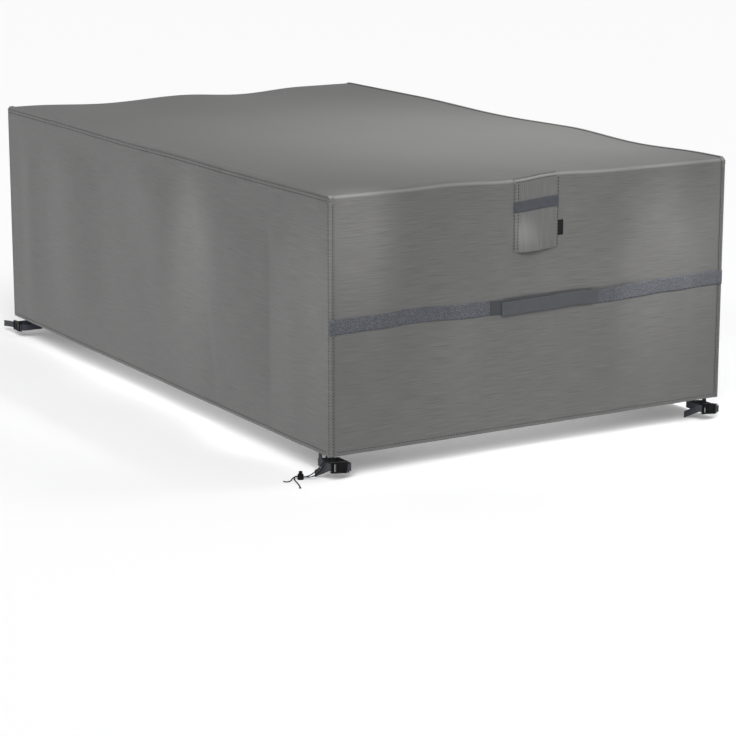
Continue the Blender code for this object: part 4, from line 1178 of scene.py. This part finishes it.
# Columns: corner, its side in x, its side in y, quarter turns about Z that bring the buckle's face round,
# slope of the strap in degrees, y of the strap's first and last run, how far the buckle sits along it, how
# its free end lies, the run that hangs from a hem
CORNERS = (
    ("front", 1, -1, 0, -6.0, -0.0336, 0.0336, 0.0, "wrapped", -1),
    ("right", 1, 1, 0, -6.0, -0.0264, 0.0336, 0.0095, "wrapped", 1),
    ("left", -1, -1, -1, 0.0, -0.0336, 0.0336, 0.0, "straight", -1),
    ("back", -1, 1, 1, 0.0, -0.0336, 0.0336, 0.0, "straight", 1),
)

webbing, tree, shader = new_finish("ribbed_webbing", (0.030, 0.032, 0.038), 0.8, sheen=0.05, specular=0.2)
place = laid_flat(tree)
weave = crossed_threads(tree, place, 200.0, 230.0, 0.7, 0.65)
shade = sum_of(tree, weave, 0.5, mottle(tree, place, 90.0, 4.0), 0.5)
colour_between(tree, shader, shade, (0.016, 0.0175, 0.022), (0.052, 0.056, 0.067))
bump(tree, shader, weave, 0.0005, 0.8)


def strap_line(from_y, to_y, slides, tail):
    """The webbing's middle line around its space, from the female bar to the end of the tail."""
    inside, outside = BAR_X - LOOP_RADIUS, BAR_X + LOOP_RADIUS
    back = -STRAP_SPACE / 2 - 0.005 + WIDE_TURN
    male_y, female_y = MALE_BAR_Y + slides, FEMALE_BAR_Y + slides
    close = min(WIDE_TURN, to_y - female_y - 0.0005)
    knee = (inside - TIGHT_TURN, from_y + TIGHT_TURN)
    line = [(outside, female_y + 0.0078)]
    line += arc((BAR_X, female_y), LOOP_RADIUS, LOOP_RADIUS, 0, -180, 10)
    line += arc((inside - close, to_y - close), close, close, 0, 90, 6)
    line += arc((back, to_y - WIDE_TURN), WIDE_TURN, WIDE_TURN, 90, 180, 6)
    line += arc((back, from_y + WIDE_TURN), WIDE_TURN, WIDE_TURN, 180, 270, 6)
    line += arc(knee, TIGHT_TURN, TIGHT_TURN, 270, 360, 6)
    line += arc((BAR_X, male_y), LOOP_RADIUS, LOOP_RADIUS, 180, 0, 10)
    outer_run = from_y - WEBBING_THICK - GAP
    if tail == "wrapped":
        line += arc(knee, outside - knee[0], knee[1] - outer_run, 0, -90, 8)[1:]
        free_end = [(x, outer_run - away, z) for x, away, z in WRAPPED_TAIL]
    else:
        free_end = [(outside, MALE_BAR_Y - beyond, z) for beyond, z in STRAIGHT_TAIL]
    return [Vector((x, y, 0.0)) for x, y in line] + [Vector(place) for place in free_end]


def strap_piece(corner, points, level):
    """A flat strap that stands on edge: its width is upright and its thickness lies across its line."""
    fine = []
    for a, b in zip(points, points[1:]):
        count = max(1, round((b - a).length / TRIM_STEP))
        fine += [a.lerp(b, n / count) for n in range(count)]
    fine.append(points[-1])
    run = lengths_along(fine)
    across = spread(WEBBING_WIDE / 2, -WEBBING_WIDE / 2, 0.0025)
    grid = []
    for middle, along in zip(fine, run):
        wavy = 1 + 0.015 * math.sin(along * 160)
        grid.append([level @ (middle + Vector((0, 0, up * wavy))) for up in across])
    piece = sheet_piece(f"webbing_{corner}", grid, across, run, WEBBING_THICK * 0.9, webbing, turned=True)
    stands_for(piece, f"strap_{corner}")


def tab_piece(corner, tab_side, turn):
    """The tab that carries a strap, inside the hem."""
    across = spread(-STRAP_SPACE / 2, -STRAP_SPACE / 2 + TAB_WIDE, TRIM_STEP)
    heights = spread(TAB_TOP, TAB_BOTTOM, TRIM_STEP)
    grid = [[turn @ Vector((x, tab_side * TAB_FROM_CORNER, z)) for x in across] for z in heights]
    piece = sheet_piece(f"tab_{corner}", grid, across, heights, TAB_THICK * 0.9, webbing, turned=True)
    stands_for(piece, f"hem_tab_{corner}")


def corner_places(row):
    """Where a corner's middle is, and where its sloping strap lies."""
    toward_x, toward_y, quarter_turns, slope_deg = row[1:5]
    middle = (toward_x * (LENGTH / 2 - CORNER_INSET), toward_y * (WIDTH / 2 - CORNER_INSET), 0)
    turn = Matrix.Translation(middle) @ Matrix.Rotation(quarter_turns * math.pi / 2, 4, "Z")
    slope = Matrix(((1, 0, 0, 0), (0, 1, 0, 0), (0, math.tan(math.radians(slope_deg)), 1, 0), (0, 0, 0, 1)))
    return turn, turn @ Matrix.Translation((0, 0, STRAP_Z)) @ slope


for row in CORNERS:
    turn, level = corner_places(row)
    strap_piece(row[0], strap_line(*row[5:9]), level)
    tab_piece(row[0], row[9], turn)

# --- Buckles ---
# Side-release buckles of moulded black nylon, 31 mm tall. The webbing loops round an open bar on the female
# half and round a bar under the hood of the male half, whose tongue clicks into the female's pocket.
BUCKLE_TALL = 0.031
BAR_RADIUS = 0.0016
HALF = BUCKLE_TALL / 2
RAIL = HALF - 0.0032
BACK, FRONT = BAR_X - 0.0029, BAR_X + 0.0053
HOOD_BACK = BAR_X + LOOP_RADIUS + WEBBING_THICK / 2 + 0.0004
HOOD_LEFT, SLOT_LEFT, SLOT_RIGHT, MALE_RIGHT = -0.0345, -0.0252, -0.0180, -0.0155
MOUTH, FEMALE_RIGHT, RAIL_RIGHT = -0.0151, 0.0145, FEMALE_BAR_Y + 0.0028
TONGUE_HALF, TONGUE_THIN, TONGUE_END = 0.0080, 0.0014, -0.0035
FIT_HALF, FIT_THIN = TONGUE_HALF + 0.0004, TONGUE_THIN + 0.0004
GRIPS_Y = (-0.0325, -0.0305, -0.0285)
GROOVES_Y = (MOUTH + 0.0018, MOUTH + 0.0034, MOUTH + 0.0050)
THUMB_RESTS_Y = (-0.0085, -0.0060, -0.0035)


def shape(piece, operation, name, low, high, rounded=0.0):
    """Cuts a box between two corners from a piece, or joins one to it."""
    box = box_piece(name, low, high)
    if rounded:
        soften(box, rounded, 3)
    cut_or_join(piece, operation, box)


def join_bar(piece, y):
    """Joins the upright bar that the webbing loops round."""
    bar = round_piece("bar", BAR_RADIUS, -RAIL - 0.001, RAIL + 0.001, 20)
    bar.data.transform(Matrix.Translation((BAR_X, y, 0)))
    cut_or_join(piece, "UNION", bar)


def male_half():
    """The hood with its window, two rails behind it, the bridge, the tongue, the bar and three grips."""
    male = box_piece("male", (HOOD_BACK, HOOD_LEFT, -HALF), (FRONT, MALE_RIGHT, HALF))
    pick(male, "EDGE", lambda a, b: max(a.y, b.y) < HOOD_LEFT + 1e-5 and abs(a.z - b.z) < 1e-6)
    bpy.ops.mesh.bevel(offset=0.0022, segments=3)
    done()
    window_high = (FRONT + 0.01, SLOT_RIGHT, RAIL - 0.001)
    shape(male, "DIFFERENCE", "window", (BACK - 0.01, SLOT_LEFT, -RAIL + 0.001), window_high, 0.0012)
    for side in (-1, 1):
        low, high = sorted((side * RAIL, side * (HALF - 0.0004)))
        rail_high = (FRONT - 0.0008, MALE_RIGHT - 0.0002, high)
        shape(male, "UNION", "rail", (BACK, HOOD_LEFT + 0.0008, low), rail_high)
    bridge_high = (FRONT - 0.0006, MALE_RIGHT - 0.0004, RAIL + 0.001)
    shape(male, "UNION", "bridge", (BACK, SLOT_RIGHT + 0.0004, -RAIL - 0.001), bridge_high)
    tongue_low = (BAR_X - TONGUE_THIN, SLOT_RIGHT + 0.001, -TONGUE_HALF)
    shape(male, "UNION", "tongue", tongue_low, (BAR_X + TONGUE_THIN, TONGUE_END, TONGUE_HALF))
    join_bar(male, MALE_BAR_Y)
    for y in GRIPS_Y:
        shape(male, "UNION", "grip", (FRONT - 0.0006, y - 0.0004, -RAIL), (FRONT + 0.00035, y + 0.0004, RAIL))
    soften(male, 0.0004)
    return male


def female_half():
    """The pocket with its recess and grooves, two rails with thumb rests, and the open bar."""
    female = box_piece("female", (BACK, MOUTH, -HALF), (FRONT, FEMALE_RIGHT, HALF))
    pick(female, "EDGE", lambda a, b: (a - b).yz.length < 1e-6 and abs(abs(a.z) - HALF) < 1e-5)
    bpy.ops.mesh.bevel(offset=0.0024, segments=4)
    done()
    recess_low = (FRONT - 0.0006, MOUTH + 0.0075, -HALF + 0.0045)
    recess_high = (FRONT + 0.002, FEMALE_RIGHT - 0.0035, HALF - 0.0045)
    shape(female, "DIFFERENCE", "recess", recess_low, recess_high, 0.0014)
    for y in GROOVES_Y:
        groove_high = (FRONT + 0.001, y + 0.0006, HALF - 0.003)
        shape(female, "DIFFERENCE", "groove", (FRONT - 0.0003, y, -HALF + 0.003), groove_high)
    pocket_high = (BAR_X + FIT_THIN, TONGUE_END + 0.0012, FIT_HALF)
    shape(female, "DIFFERENCE", "pocket", (BAR_X - FIT_THIN, MOUTH - 0.01, -FIT_HALF), pocket_high)
    for side in (-1, 1):
        low, high = sorted((side * RAIL, side * (HALF - 0.0012)))
        shape(female, "UNION", "rail", (BACK + 0.001, 0.0, low), (FRONT - 0.001, RAIL_RIGHT, high))
        low, high = sorted((side * (HALF - 0.0006), side * (HALF + 0.0003)))
        for y in THUMB_RESTS_Y:
            rest_high = (BAR_X + 0.0032, y + 0.0005, high)
            shape(female, "UNION", "thumb_rest", (BAR_X - 0.0012, y - 0.0005, low), rest_high)
    join_bar(female, FEMALE_BAR_Y)
    soften(female, 0.0004)
    return female


halves = {"male": male_half(), "female": female_half()}
for row in CORNERS:
    corner, slides = row[0], row[7]
    moved = corner_places(row)[1] @ Matrix.Translation((0, slides, 0))
    for half_name, half_buckle in halves.items():
        piece = bpy.data.objects.new(f"release_{half_name}_{corner}", half_buckle.data.copy())
        bpy.context.scene.collection.objects.link(piece)
        piece.data.transform(moved)
        mould(piece, f"buckle_{half_name}_{corner}")
for half_buckle in halves.values():
    bpy.data.objects.remove(half_buckle, do_unlink=True)
